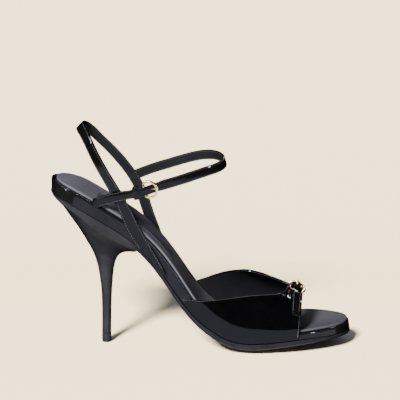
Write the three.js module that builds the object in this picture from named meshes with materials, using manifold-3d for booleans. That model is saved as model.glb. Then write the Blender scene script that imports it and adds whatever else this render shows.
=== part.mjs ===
// High-heeled sandal, right shoe, standing on its sole.
// X runs from the heel to the toe, Y from the outer side to the inner side, Z is up, in millimetres.
// The origin lies on the floor under the ball of the foot.
import * as THREE from 'three';
import { mergeVertices } from 'three/addons/utils/BufferGeometryUtils.js';
import Module from 'manifold-3d';

const wasm = await Module();
wasm.setup();

// Driving sizes of the last
const insoleRun = 212.6;
const seatBack = -135.6;
const heelRise = 114;
const toeSpring = 8.3;
const ballWidth = 71.7;
const seatRadius = 24;
const toeRadius = 48;
const footCrown = 4.3;
const instepRise = 43.5;
const instepLean = 3;

// Layers of the sole
const clearance = 0.3;
const insoleThickness = 1.6;
const platformDepth = 9.2;
const outsoleThickness = 4;
const seatWelt = 3.8;
const outsoleLedge = 1.2;
const floorCut = 0.5;
const breastAt = -67.5;

// Heel and top lift
const liftHeight = 6.6;
const liftHalf = 4.3;
const stemHalf = 4.1;

// Upper
const vampWall = 1.5;
const strapWall = 2;
const strapWidth = 7.2;
const ankleHalf = 28;
const ankleRise = 45;
const ankleWidth = 6.4;
const ankleWall = 1.6;

// Buckles
const ringRadius = 5.9;
const wireRadius = 0.9;
const barRadius = 0.75;
const prongRadius = 0.6;

// The last, from the back of the seat to the toe.
// rise and spring lift the foot bed, middle and half place its edges, crown lifts them.
const last = [
  { along: 0, rise: 1, spring: 0, middle: 0, half: 0.356, crown: 0 },
  { along: 0.064, rise: 0.958, spring: 0, middle: 0, half: 0.356, crown: 0 },
  { along: 0.143, rise: 0.879, spring: 0, middle: -0.003, half: 0.357, crown: 0 },
  { along: 0.223, rise: 0.789, spring: 0, middle: -0.01, half: 0.351, crown: 0 },
  { along: 0.298, rise: 0.691, spring: 0, middle: -0.02, half: 0.335, crown: 0 },
  { along: 0.354, rise: 0.589, spring: 0, middle: -0.028, half: 0.318, crown: 0 },
  { along: 0.401, rise: 0.479, spring: 0, middle: -0.035, half: 0.312, crown: 0 },
  { along: 0.448, rise: 0.342, spring: 0, middle: -0.039, half: 0.326, crown: 0.1 },
  { along: 0.494, rise: 0.204, spring: 0, middle: -0.038, half: 0.357, crown: 0.33 },
  { along: 0.551, rise: 0.082, spring: 0, middle: -0.027, half: 0.413, crown: 0.73 },
  { along: 0.616, rise: 0.011, spring: 0, middle: -0.014, half: 0.471, crown: 1 },
  { along: 0.71, rise: 0, spring: 0, middle: 0.009, half: 0.5, crown: 1 },
  { along: 0.813, rise: 0, spring: 0.31, middle: 0.032, half: 0.487, crown: 0.87 },
  { along: 0.906, rise: 0, spring: 0.69, middle: 0.052, half: 0.455, crown: 0.6 },
  { along: 1, rise: 0, spring: 1, middle: 0.07, half: 0.432, crown: 0.27 },
];

// The sole at the same places: depth and welt size the platform, sole and ledge the outsole.
const soleRows = [
  { along: 0, depth: 1, welt: 1, sole: 0.6, ledge: 1 },
  { along: 0.064, depth: 1, welt: 1, sole: 0.6, ledge: 1 },
  { along: 0.143, depth: 0.99, welt: 0.9, sole: 0.6, ledge: 1 },
  { along: 0.223, depth: 0.98, welt: 0.75, sole: 0.6, ledge: 1 },
  { along: 0.298, depth: 0.98, welt: 0.6, sole: 0.6, ledge: 1 },
  { along: 0.354, depth: 0.96, welt: 0.52, sole: 0.6, ledge: 1 },
  { along: 0.401, depth: 0.93, welt: 0.5, sole: 0.6, ledge: 1 },
  { along: 0.448, depth: 0.87, welt: 0.48, sole: 0.65, ledge: 1 },
  { along: 0.494, depth: 0.78, welt: 0.48, sole: 0.75, ledge: 1 },
  { along: 0.551, depth: 0.66, welt: 0.48, sole: 0.9, ledge: 1 },
  { along: 0.616, depth: 0.58, welt: 0.48, sole: 1, ledge: 1 },
  { along: 0.71, depth: 0.565, welt: 0.48, sole: 1, ledge: 1 },
  { along: 0.813, depth: 0.57, welt: 0.46, sole: 0.9, ledge: 1 },
  { along: 0.906, depth: 0.6, welt: 0.4, sole: 0.75, ledge: 0.6 },
  { along: 1, depth: 0.62, welt: 0.3, sole: 0.6, ledge: 0 },
];

// The vamp: top is its ridge, outer and inner are its toplines, as shares of the instep rise.
const vampShape = [
  { along: 0.36, top: 2.2, outer: 0.668, inner: 0.64 },
  { along: 0.466, top: 1.47, outer: 0.668, inner: 0.678 },
  { along: 0.541, top: 1.26, outer: 0.684, inner: 0.815 },
  { along: 0.611, top: 1.09, outer: 0.714, inner: 0.91 },
  { along: 0.658, top: 1, outer: 0.729, inner: 0.943 },
  { along: 0.728, top: 0.887, outer: 0.726, inner: 0.855 },
  { along: 0.766, top: 0.807, outer: 0.716, inner: 0.765 },
  { along: 0.794, top: 0.748, outer: 0.733, inner: 0.735 },
  { along: 0.817, top: 0.703, outer: 0.775, inner: 0.775 },
  { along: 0.846, top: 0.655, outer: 0.8, inner: 0.8 },
];

// The rear upper, from the outer sole edge round the heel to the inner sole edge.
// above is measured from the foot bed, side from the middle line; facing and lean turn its face, in degrees.
const backRows = [
  { along: 0.352, side: -1.05, above: -0.395, width: 1.25, facing: -88, lean: 0 },
  { along: 0.326, side: -1.05, above: -0.287, width: 1.2, facing: -90, lean: 0 },
  { along: 0.298, side: -1.045, above: -0.173, width: 1.2, facing: -91, lean: 2 },
  { along: 0.272, side: -1.03, above: -0.057, width: 1.28, facing: -93, lean: 5 },
  { along: 0.243, side: -1, above: 0.148, width: 1.15, facing: -97, lean: 6 },
  { along: 0.212, side: -0.964, above: 0.346, width: 1, facing: -101, lean: 6 },
  { along: 0.187, side: -0.929, above: 0.46, width: 1, facing: -105, lean: 8 },
  { along: 0.159, side: -0.868, above: 0.6, width: 0.99, facing: -111, lean: 11 },
  { along: 0.131, side: -0.743, above: 0.755, width: 0.99, facing: -123, lean: 18 },
  { along: 0.104, side: -0.5, above: 0.902, width: 1.03, facing: -142, lean: 30 },
  { along: 0.085, side: -0.179, above: 0.968, width: 1.06, facing: -168, lean: 42 },
  { along: 0.087, side: 0.179, above: 0.964, width: 1.06, facing: -192, lean: 42 },
  { along: 0.108, side: 0.464, above: 0.93, width: 1.02, facing: -218, lean: 30 },
  { along: 0.139, side: 0.661, above: 0.845, width: 0.97, facing: -237, lean: 18 },
  { along: 0.173, side: 0.804, above: 0.759, width: 0.97, facing: -249, lean: 11 },
  { along: 0.206, side: 0.893, above: 0.671, width: 1, facing: -256, lean: 8 },
  { along: 0.235, side: 0.929, above: 0.579, width: 1, facing: -261, lean: 6 },
  { along: 0.263, side: 0.939, above: 0.467, width: 1.05, facing: -265, lean: 5 },
  { along: 0.287, side: 0.935, above: 0.297, width: 1.12, facing: -268, lean: 4 },
  { along: 0.302, side: 0.93, above: 0.13, width: 1.12, facing: -270, lean: 3 },
  { along: 0.317, side: 0.93, above: -0.01, width: 1.1, facing: -271, lean: 2 },
  { along: 0.335, side: 0.925, above: -0.155, width: 1.1, facing: -271, lean: 0 },
  { along: 0.351, side: 0.92, above: -0.3, width: 1.1, facing: -272, lean: 0 },
];

// The ankle strap, from the inner junction round the front of the ankle to its free end.
const ankleRows = [
  { along: 0.242, side: 0.936, lift: 0.451, facing: 95, lean: 4 },
  { along: 0.279, side: 0.939, lift: 0.524, facing: 92, lean: 4 },
  { along: 0.326, side: 0.921, lift: 0.611, facing: 86, lean: 5 },
  { along: 0.389, side: 0.843, lift: 0.713, facing: 76, lean: 6 },
  { along: 0.459, side: 0.696, lift: 0.828, facing: 62, lean: 8 },
  { along: 0.516, side: 0.493, lift: 0.893, facing: 42, lean: 10 },
  { along: 0.559, side: 0.232, lift: 0.893, facing: 18, lean: 11 },
  { along: 0.577, side: -0.054, lift: 0.852, facing: -6, lean: 12 },
  { along: 0.561, side: -0.339, lift: 0.797, facing: -33, lean: 10 },
  { along: 0.522, side: -0.571, lift: 0.75, facing: -55, lean: 8 },
  { along: 0.462, side: -0.786, lift: 0.676, facing: -67, lean: 6 },
  { along: 0.405, side: -0.946, lift: 0.606, facing: -74, lean: 5 },
  { along: 0.354, side: -1.046, lift: 0.54, facing: -79, lean: 4 },
  { along: 0.326, side: -1.087, lift: 0.496, facing: -80, lean: 4 },
  { along: 0.3, side: -1.12, lift: 0.46, facing: -84, lean: 4 },
  { along: 0.26, side: -1.125, lift: 0.42, facing: -92, lean: 5 },
  { along: 0.199, side: -1.093, lift: 0.353, facing: -96, lean: 5 },
  { along: 0.136, side: -1.021, lift: 0.251, facing: -100, lean: 5 },
];

// The heel from the seat down: back and front are shares of the seat length, drop of the heel height,
// half of the stem's half width, and seat says how far the outline still follows the platform.
const heelRows = [
  { backDrop: -0.03, back: -0.01, frontDrop: 0.26, front: 1, half: 6.8, seat: 1 },
  { backDrop: 0, back: 0, frontDrop: 0.32, front: 1, half: 6.8, seat: 1 },
  { backDrop: 0.025, back: 0.05, frontDrop: 0.355, front: 0.975, half: 6.35, seat: 0.8 },
  { backDrop: 0.07, back: 0.11, frontDrop: 0.366, front: 0.9, half: 5.6, seat: 0.5 },
  { backDrop: 0.135, back: 0.185, frontDrop: 0.385, front: 0.81, half: 4.75, seat: 0.25 },
  { backDrop: 0.215, back: 0.28, frontDrop: 0.42, front: 0.752, half: 3.75, seat: 0.1 },
  { backDrop: 0.305, back: 0.373, frontDrop: 0.473, front: 0.715, half: 2.85, seat: 0 },
  { backDrop: 0.395, back: 0.46, frontDrop: 0.527, front: 0.695, half: 2.15, seat: 0 },
  { backDrop: 0.495, back: 0.516, frontDrop: 0.587, front: 0.685, half: 1.6, seat: 0 },
  { backDrop: 0.61, back: 0.547, frontDrop: 0.66, front: 0.676, half: 1.25, seat: 0 },
  { backDrop: 0.73, back: 0.561, frontDrop: 0.75, front: 0.669, half: 1.06, seat: 0 },
];

// Natural cubic spline through one column of a table, straight beyond its ends.
function spline(places, values) {
  const last = places.length - 1;
  const gap = places.slice(1).map((place, i) => place - places[i]);
  const slope = gap.map((width, i) => (values[i + 1] - values[i]) / width);
  const pivot = [1];
  const load = [0];
  for (let i = 1; i < last; i += 1) {
    const share = i > 1 ? gap[i - 1] / pivot[i - 1] : 0;
    pivot.push(2 * (gap[i - 1] + gap[i]) - share * gap[i - 1]);
    load.push(6 * (slope[i] - slope[i - 1]) - share * load[i - 1]);
  }
  const bend = new Array(last + 1).fill(0);
  for (let i = last - 1; i > 0; i -= 1) {
    bend[i] = (load[i] - gap[i] * bend[i + 1]) / pivot[i];
  }
  const startSlope = slope[0] - (gap[0] * bend[1]) / 6;
  const endSlope = slope[last - 1] + (gap[last - 1] * bend[last - 1]) / 6;
  return (at) => {
    if (at <= places[0]) {
      return values[0] + (at - places[0]) * startSlope;
    }
    if (at >= places[last]) {
      return values[last] + (at - places[last]) * endSlope;
    }
    let i = 0;
    while (places[i + 1] < at) {
      i += 1;
    }
    const near = at - places[i];
    const far = places[i + 1] - at;
    const curved = (bend[i + 1] * near ** 3 + bend[i] * far ** 3) / (6 * gap[i]);
    const right = (values[i + 1] / gap[i] - (bend[i + 1] * gap[i]) / 6) * near;
    const left = (values[i] / gap[i] - (bend[i] * gap[i]) / 6) * far;
    return curved + right + left;
  };
}

function column(rows, key) {
  return spline(rows.map((row) => row.along), rows.map((row) => row[key]));
}

function mix(from, to, share) {
  return from + (to - from) * share;
}

function clamp(value, low, high) {
  return Math.min(high, Math.max(low, value));
}

const lastRise = column(last, 'rise');
const lastSpring = column(last, 'spring');
const lastMiddle = column(last, 'middle');
const lastHalf = column(last, 'half');
const lastDepth = column(soleRows, 'depth');
const lastWelt = column(soleRows, 'welt');
const lastCrown = column(last, 'crown');
const lastSole = column(soleRows, 'sole');
const lastLedge = column(soleRows, 'ledge');

// Heights and depths along the shoe
const toeTip = seatBack + insoleRun;
const ballDepthShare = 0.565;
const platformAtBall = platformDepth * ballDepthShare;
const ballStack = insoleThickness + platformAtBall + outsoleThickness + 2 * clearance - floorCut;
const alongOf = (x) => (x - seatBack) / insoleRun;
const xOf = (along) => seatBack + along * insoleRun;
const inside = (x) => clamp(alongOf(x), 0, 1);
const bed = (x) => ballStack + heelRise * lastRise(alongOf(x)) + toeSpring * lastSpring(alongOf(x));
const crown = (x) => footCrown * Math.max(0, lastCrown(inside(x)));
const welt = (x) => seatWelt * lastWelt(inside(x));
const platformTop = insoleThickness + clearance;
const platformBase = (x) => platformTop + platformDepth * lastDepth(inside(x));
const outsoleTop = (x) => platformBase(x) + clearance;
const outsoleBase = (x) => outsoleTop(x) + outsoleThickness * lastSole(inside(x));

// The round end of an outline
function roundEnd(share) {
  const roundness = 2.15;
  return share >= 1 ? 1 : (1 - (1 - clamp(share, 0, 1)) ** roundness) ** (1 / roundness);
}

// The edge of the foot bed grown outwards, on the outer side (-1) or the inner side (1)
function edge(x, side, grow) {
  const half = ballWidth * lastHalf(inside(x)) + grow;
  const heelEnd = roundEnd((x - seatBack + grow) / (seatRadius + grow));
  const toeEnd = roundEnd((toeTip + grow - x) / (toeRadius + grow));
  return ballWidth * lastMiddle(inside(x)) + side * half * heelEnd * toeEnd;
}

// A point at a depth under the foot bed, square to it, and straight down at the back of the seat
function underBed(x, y, depth) {
  const step = 0.5;
  const upright = clamp((x - seatBack + seatWelt) / seatRadius, 0, 1);
  const slope = ((bed(x + step) - bed(x - step)) / (2 * step)) * upright;
  const length = Math.hypot(1, slope);
  const middle = ballWidth * lastMiddle(inside(x));
  const spread = (y - middle) / (ballWidth * lastHalf(inside(x)));
  const rise = crown(x) * Math.min(spread ** 2, 1.6);
  const down = depth - rise;
  return new THREE.Vector3(x + (down * slope) / length, y, bed(x) - down / length);
}

// The place along the bed whose square section holds a point
function stationOf(x, z) {
  let low = x - 40;
  let high = x + 40;
  for (let i = 0; i < 30; i += 1) {
    const middle = (low + high) / 2;
    const slope = bed(middle + 0.5) - bed(middle - 0.5);
    if (x - middle + (z - bed(middle)) * slope > 0) {
      low = middle;
    } else {
      high = middle;
    }
  }
  return (low + high) / 2;
}

// Solids from rings of points, each ring running the same way round.
// Each quad is split from its outer rear corner to its inner front one, so that layers match.
function loft(rings) {
  const count = rings[0].length;
  const points = rings.flat();
  const index = [];
  for (let i = 0; i + 1 < rings.length; i += 1) {
    for (let j = 0; j < count; j += 1) {
      const a = i * count + j;
      const b = i * count + ((j + 1) % count);
      if (points[a].y < points[b].y) {
        index.push(a, b, b + count, a, b + count, a + count);
      } else {
        index.push(a, b, a + count, b, b + count, a + count);
      }
    }
  }
  const ends = [0, rings.length - 1];
  for (const end of ends) {
    const centre = new THREE.Vector3();
    rings[end].forEach((point) => centre.add(point));
    points.push(centre.divideScalar(count));
    const hub = points.length - 1;
    for (let j = 0; j < count; j += 1) {
      const a = end * count + j;
      const b = end * count + ((j + 1) % count);
      index.push(...(end === 0 ? [hub, b, a] : [hub, a, b]));
    }
  }
  const geometry = new THREE.BufferGeometry().setFromPoints(points);
  geometry.setIndex(index);
  return geometry;
}

// A closed surface as a solid, turned so that its faces point out
function solid(geometry) {
  const bare = geometry.clone();
  bare.deleteAttribute('normal');
  bare.deleteAttribute('uv');
  const merged = mergeVertices(bare, 1e-4);
  const vertProperties = new Float32Array(merged.attributes.position.array);
  const triVerts = new Uint32Array(merged.index.array);
  const position = merged.attributes.position;
  const corners = [new THREE.Vector3(), new THREE.Vector3(), new THREE.Vector3()];
  let volume = 0;
  for (let i = 0; i < triVerts.length; i += 3) {
    corners.forEach((corner, k) => corner.fromBufferAttribute(position, triVerts[i + k]));
    volume += corners[0].dot(corners[1].clone().cross(corners[2]));
  }
  if (volume < 0) {
    triVerts.reverse();
  }
  return new wasm.Manifold(new wasm.Mesh({ numProp: 3, vertProperties, triVerts }));
}

function toGeometry(manifold) {
  const mesh = manifold.getMesh();
  const geometry = new THREE.BufferGeometry();
  geometry.setAttribute('position', new THREE.BufferAttribute(mesh.vertProperties, mesh.numProp));
  geometry.setIndex(new THREE.BufferAttribute(mesh.triVerts, 1));
  return geometry;
}

// Stations crowded towards both round ends
function stations(from, to, count) {
  const crowding = 0.86;
  const list = [];
  for (let i = 0; i <= count; i += 1) {
    const t = i / count;
    list.push(mix(from, to, t - (crowding * Math.sin(2 * Math.PI * t)) / (2 * Math.PI)));
  }
  return list;
}

// One layer of the sole: side lists its corners, inwards from the edge and down its thickness
function layer(places, grow, top, base, side, across) {
  const rings = places.map((x) => {
    const width = edge(x, 1, grow(x)) - edge(x, -1, grow(x));
    const inset = (corner) => Math.min(corner.inset, width * 0.3);
    const depth = (corner) => mix(top(x), base(x), corner.drop);
    const ring = [];
    const first = side[0];
    const foot = side[side.length - 1];
    for (let i = 0; i <= across; i += 1) {
      const y = mix(edge(x, -1, grow(x)) + inset(first), edge(x, 1, grow(x)) - inset(first), i / across);
      ring.push(underBed(x, y, top(x)));
    }
    side.slice(1, -1).forEach((corner) => {
      ring.push(underBed(x, edge(x, 1, grow(x)) - inset(corner), depth(corner)));
    });
    for (let i = across; i >= 0; i -= 1) {
      const y = mix(edge(x, -1, grow(x)) + inset(foot), edge(x, 1, grow(x)) - inset(foot), i / across);
      ring.push(underBed(x, y, base(x)));
    }
    side.slice(1, -1).reverse().forEach((corner) => {
      ring.push(underBed(x, edge(x, -1, grow(x)) + inset(corner), depth(corner)));
    });
    return ring;
  });
  return solid(loft(rings));
}

// Everything from one depth to another, far past the edges, used to cut
function slab(from, to, top, base) {
  const places = [from, ...solePlaces(outsoleGrow).filter((x) => x > from + 1 && x < to - 1), to];
  return solid(loft(places.map((x) => {
    const middle = ballWidth * lastMiddle(inside(x));
    const half = ballWidth * lastHalf(inside(x));
    const spots = [-3, -1.2, -1.08, -0.54, 0, 0.54, 1.08, 1.2, 3].map((share) => middle + share * half);
    const upper = spots.map((y) => underBed(x, y, top(x)));
    const lower = spots.map((y) => underBed(x, y, base(x))).reverse();
    return [...upper, ...lower];
  })));
}

function box(low, high) {
  const geometry = new THREE.BoxGeometry(high.x - low.x, high.y - low.y, high.z - low.z);
  geometry.translate((high.x + low.x) / 2, (high.y + low.y) / 2, (high.z + low.z) / 2);
  return solid(geometry);
}

// Sole layers
const endSliver = 0.004;
const soleSteps = 46;
function solePlaces(grow) {
  const start = seatBack - grow(seatBack) + endSliver * seatRadius;
  return stations(start, toeTip + grow(toeTip) - endSliver * toeRadius, soleSteps);
}

function makeInsole() {
  const side = [{ inset: 0.7, drop: 0 }, { inset: 0, drop: 0.5 }, { inset: 0, drop: 1 }];
  const grow = () => 0;
  return layer(solePlaces(grow), grow, () => 0, () => insoleThickness, side, 4);
}

function makePlatform() {
  const side = [
    { inset: 2.2, drop: 0 },
    { inset: 0.8, drop: 0.07 },
    { inset: 0, drop: 0.28 },
    { inset: 0, drop: 1 },
  ];
  return layer(solePlaces(welt), welt, () => platformTop, platformBase, side, 4);
}

const outsoleGrow = (x) => welt(x) + outsoleLedge * lastLedge(inside(x));

function makeOutsole() {
  const side = [{ inset: 0, drop: 0 }, { inset: 0, drop: 0.55 }, { inset: 1.8, drop: 1 }];
  const places = [breastAt, ...solePlaces(outsoleGrow).filter((x) => x > breastAt + 1)];
  const body = layer(places, outsoleGrow, outsoleTop, outsoleBase, side, 4);
  const far = insoleRun;
  const floor = box(new THREE.Vector3(-far, -far, -far), new THREE.Vector3(far, far, 0));
  return body.subtract(floor);
}

// The space that the insole and platform take, with the clearance round them
function soleCore() {
  const side = [{ inset: 0, drop: 0 }, { inset: 0, drop: 1 }];
  const grow = (x) => welt(x) + clearance;
  const above = () => -clearance;
  const below = (x) => platformBase(x) + 2 * clearance;
  return layer(solePlaces(grow), grow, above, below, side, 4);
}

// Heel and top lift
const heelFront = underBed(breastAt, 0, platformBase(breastAt)).x;
const heelLength = heelFront - (seatBack - seatWelt);
const seatUnder = underBed(seatBack, 0, platformBase(seatBack)).z - clearance;

function stemOutline(share, half) {
  const fullAt = 0.55;
  if (share < fullAt) {
    return half * Math.sqrt(1 - (1 - share / fullAt) ** 2);
  }
  return half * (1 - 0.6 * ((share - fullAt) / (1 - fullAt)) ** 2.5);
}

function heelRing(row, count) {
  const backX = seatBack - seatWelt + heelLength * row.back;
  const frontX = seatBack - seatWelt + heelLength * row.front;
  const backZ = row.backZ ?? seatUnder * (1 - row.backDrop);
  const frontZ = row.frontZ ?? seatUnder * (1 - row.frontDrop);
  const outer = [];
  const inner = [];
  for (let i = 0; i <= count; i += 1) {
    const share = (1 - Math.cos((Math.PI * i) / count)) / 2;
    const x = mix(backX, frontX, share);
    const z = mix(backZ, frontZ, share);
    const stem = stemOutline(share, stemHalf * row.half);
    const seatX = mix(seatBack - seatWelt, breastAt, share);
    const seatOuter = edge(seatX, -1, welt(seatX));
    const seatInner = edge(seatX, 1, welt(seatX));
    outer.push(new THREE.Vector3(x, mix(-stem, seatOuter, row.seat), z));
    inner.push(new THREE.Vector3(x, mix(stem, seatInner, row.seat), z));
  }
  return [...outer, ...inner.slice(1).reverse()];
}

function makeHeel() {
  const top = liftHeight + clearance;
  const endRow = { back: 0.5605, front: 0.6625, backZ: top, frontZ: top, half: 1, seat: 0 };
  const rings = [...heelRows, endRow].map((row) => heelRing(row, 12));
  const under = (x) => platformBase(x) + clearance;
  const seat = slab(seatBack - 3 * seatWelt, breastAt + 30, () => -platformDepth * 4, under);
  const sole = slab(breastAt - clearance, breastAt + 40, () => 0, (x) => outsoleBase(x) + clearance);
  return solid(loft(rings)).subtract(seat).subtract(sole);
}

function makeHeelTip() {
  const foot = { back: 0.559, front: 0.665, backZ: 0, frontZ: 0, half: liftHalf / stemHalf, seat: 0 };
  const head = { ...foot, backZ: liftHeight, frontZ: liftHeight };
  return solid(loft([head, foot].map((row) => heelRing(row, 8))));
}

// The last's surface over the toes and instep
const vampTop = column(vampShape, 'top');
const vampOuter = column(vampShape, 'outer');
const vampInner = column(vampShape, 'inner');
const vampHeight = (share) => ballStack + instepRise * share;
const vampFront = xOf(0.839);
const frontBow = 2.1;
const vampBack = xOf(0.39);

// A point of the vamp: turn runs from 0 on the inner side over the top to 1 on the outer side
function vampPoint(x, turn, out) {
  const grow = welt(x) + clearance + out;
  const outerEdge = edge(x, -1, grow);
  const innerEdge = edge(x, 1, grow);
  const foot = bed(x) + crown(x);
  const rise = vampHeight(vampTop(alongOf(x))) - vampWall + out - foot;
  const angle = Math.PI * turn;
  const y = (outerEdge + innerEdge) / 2 + ((innerEdge - outerEdge) / 2) * Math.cos(angle);
  return new THREE.Vector3(x, y + instepLean * Math.sin(angle) ** 2, foot + rise * Math.sin(angle));
}

function vampNormal(x, turn) {
  const step = 0.01;
  const alongX = vampPoint(x + 1, turn, vampWall).sub(vampPoint(x - 1, turn, vampWall));
  const around = vampPoint(x, turn + step, vampWall).sub(vampPoint(x, turn - step, vampWall));
  return around.cross(alongX).normalize();
}

// One section: a leg down each side of the platform and the arch between them
function vampRing(share, out, count) {
  const legSteps = 4;
  const ring = [];
  const frontAt = (turn) => vampFront + frontBow * Math.sin(Math.PI * turn);
  const leg = (side) => {
    const x = mix(vampBack, vampFront, share);
    const top = bed(x) + crown(x);
    const slope = bed(x + 0.5) - bed(x - 0.5);
    const reach = (outsoleBase(x) + 1) * Math.hypot(1, slope) + footCrown;
    const points = [];
    for (let i = legSteps; i >= 1; i -= 1) {
      const z = top - (reach * i) / legSteps;
      const station = stationOf(x, z);
      points.push(new THREE.Vector3(x, edge(station, side, welt(station) + clearance + out), z));
    }
    return points;
  };
  ring.push(...leg(1));
  for (let i = 0; i <= count; i += 1) {
    const turn = i / count;
    ring.push(vampPoint(mix(vampBack, frontAt(turn), share), turn, out));
  }
  ring.push(...leg(-1).reverse());
  return ring;
}

function vampShell(out, overrun) {
  const count = 20;
  const rings = [];
  for (let i = 0; i <= count; i += 1) {
    rings.push(vampRing(mix(-overrun, 1 + overrun, i / count), out, 20));
  }
  return solid(loft(rings));
}

// Everything above one topline, on one side of the middle
function throatCut(height, side) {
  const from = vampBack - 20;
  const until = xOf(0.81);
  const steps = 18;
  const sky = vampHeight(4);
  const outline = new THREE.Shape();
  outline.moveTo(from, sky);
  for (let i = 0; i <= steps; i += 1) {
    const x = mix(from, until, i / steps);
    outline.lineTo(x, vampHeight(height(Math.max(alongOf(x), vampShape[0].along))));
  }
  outline.lineTo(until, sky);
  const overlap = 0.05;
  const geometry = new THREE.ExtrudeGeometry(outline, { depth: ballWidth + overlap, bevelEnabled: false });
  geometry.rotateX(Math.PI / 2);
  geometry.translate(0, side > 0 ? ballWidth : overlap, 0);
  return solid(geometry);
}

function makeVamp() {
  const sole = slab(vampBack - 30, toeTip, (x) => platformBase(x), (x) => outsoleBase(x) + 30);
  const shell = vampShell(vampWall, 0).subtract(vampShell(0, 0.05));
  return shell
    .subtract(throatCut(vampOuter, -1))
    .subtract(throatCut(vampInner, 1))
    .subtract(sole)
    .subtract(soleCore());
}

// A route through points, with an outward direction and a width at each
function makeRoute(points, outwards, widths) {
  const places = [0];
  points.slice(1).forEach((point, i) => places.push(places[i] + point.distanceTo(points[i])));
  const curve = (values) => spline(places, values);
  const axes = ['x', 'y', 'z'];
  const place = axes.map((axis) => curve(points.map((point) => point[axis])));
  const out = axes.map((axis) => curve(outwards.map((vector) => vector[axis])));
  const width = curve(widths);
  const pointAt = (s) => new THREE.Vector3(...place.map((part) => part(s)));
  const frameAt = (s) => {
    const tangent = pointAt(s + 0.2).sub(pointAt(s - 0.2)).normalize();
    const normal = new THREE.Vector3(...out.map((part) => part(s)));
    normal.addScaledVector(tangent, -normal.dot(tangent)).normalize();
    return { point: pointAt(s), tangent, normal, across: tangent.clone().cross(normal), width: width(s) };
  };
  return { places, length: places[places.length - 1], frameAt };
}

function facingVector(facing, lean) {
  const turn = THREE.MathUtils.degToRad(facing);
  const tilt = THREE.MathUtils.degToRad(lean);
  return new THREE.Vector3(Math.cos(turn) * Math.cos(tilt), Math.sin(turn) * Math.cos(tilt), Math.sin(tilt));
}

const junctionHeight = bed(xOf(0.243));
const backRoute = makeRoute(
  backRows.map((row) => new THREE.Vector3(
    xOf(row.along),
    row.side * ankleHalf,
    bed(xOf(row.along)) + row.above * ankleRise,
  )),
  backRows.map((row) => facingVector(row.facing, row.lean)),
  backRows.map((row) => row.width * strapWidth),
);
const ankleRoute = makeRoute(
  ankleRows.map((row) => new THREE.Vector3(
    xOf(row.along),
    row.side * ankleHalf,
    junctionHeight + row.lift * ankleRise,
  )),
  ankleRows.map((row) => facingVector(row.facing, row.lean)),
  ankleRows.map(() => ankleWidth),
);

// A strap of one thickness along a route, raised off it by lift
function strap(route, from, to, count, wall, width, lift) {
  const soft = wall * 0.3;
  const rings = [];
  for (let i = 0; i <= count; i += 1) {
    const frame = route.frameAt(mix(from, to, i / count));
    const half = width(frame, i / count) / 2;
    const spot = (across, out) => frame.point.clone()
      .addScaledVector(frame.across, across)
      .addScaledVector(frame.normal, out + lift);
    rings.push([
      spot(-half, -wall / 2),
      spot(half, -wall / 2),
      spot(half, wall / 2 - soft),
      spot(half - soft, wall / 2),
      spot(-half + soft, wall / 2),
      spot(-half, wall / 2 - soft),
    ]);
  }
  return solid(loft(rings));
}

// A round rod through points that lie in one plane, whose square direction is flat
function rod(points, radius, flat) {
  const sides = 8;
  const curve = new THREE.CatmullRomCurve3(points, false, 'centripetal');
  const count = 4 * (points.length - 1);
  const rings = [];
  for (let i = 0; i <= count; i += 1) {
    const centre = curve.getPoint(i / count);
    const lifted = curve.getTangent(i / count).cross(flat).normalize();
    const ring = [];
    for (let j = 0; j < sides; j += 1) {
      const angle = (2 * Math.PI * j) / sides;
      ring.push(centre.clone()
        .addScaledVector(flat, radius * Math.cos(angle))
        .addScaledVector(lifted, radius * Math.sin(angle)));
    }
    rings.push(ring);
  }
  return solid(loft(rings));
}

// A buckle on a strap: the bar lies under the strap, the far arc of the ring over it
const barSet = 4.2;
function placeBuckle(route, barAt, strapWallHere, barDepth) {
  const barFrame = route.frameAt(barAt);
  const bar = barFrame.point.clone().addScaledVector(barFrame.normal, -barDepth);
  const arcLift = strapWallHere / 2 + 2 * clearance + wireRadius;
  let near = 4;
  let far = 16;
  const arcPoint = (back) => {
    const frame = route.frameAt(barAt - back);
    return frame.point.clone().addScaledVector(frame.normal, arcLift);
  };
  for (let i = 0; i < 30; i += 1) {
    const middle = (near + far) / 2;
    if (arcPoint(middle).distanceTo(bar) < barSet + ringRadius) {
      near = middle;
    } else {
      far = middle;
    }
  }
  const towards = arcPoint(near).sub(bar).normalize();
  const flat = barFrame.across.clone().addScaledVector(towards, -barFrame.across.dot(towards)).normalize();
  const up = flat.clone().cross(towards).normalize();
  if (up.dot(barFrame.normal) < 0) {
    up.negate();
    flat.negate();
  }
  const centre = bar.clone().addScaledVector(towards, barSet);
  const basis = new THREE.Matrix4().makeBasis(towards, up.clone().cross(towards), up).setPosition(centre);
  const halfBar = Math.sqrt(ringRadius ** 2 - barSet ** 2);
  return { route, barAt, bar, towards, up, flat, centre, basis, halfBar, arcBack: near };
}

function makeBuckle(place) {
  const ring = solid(new THREE.TorusGeometry(ringRadius, wireRadius, 8, 32));
  const far = 3 * ringRadius;
  const cut = box(new THREE.Vector3(-far, -far, -far), new THREE.Vector3(-barSet, far, far));
  const barLength = 2 * (place.halfBar + wireRadius / 2);
  const barGeometry = new THREE.CylinderGeometry(barRadius, barRadius, barLength, 10);
  barGeometry.translate(-barSet, 0, 0);
  const buckle = toGeometry(ring.subtract(cut).add(solid(barGeometry)));
  buckle.applyMatrix4(place.basis);
  return buckle;
}

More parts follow.
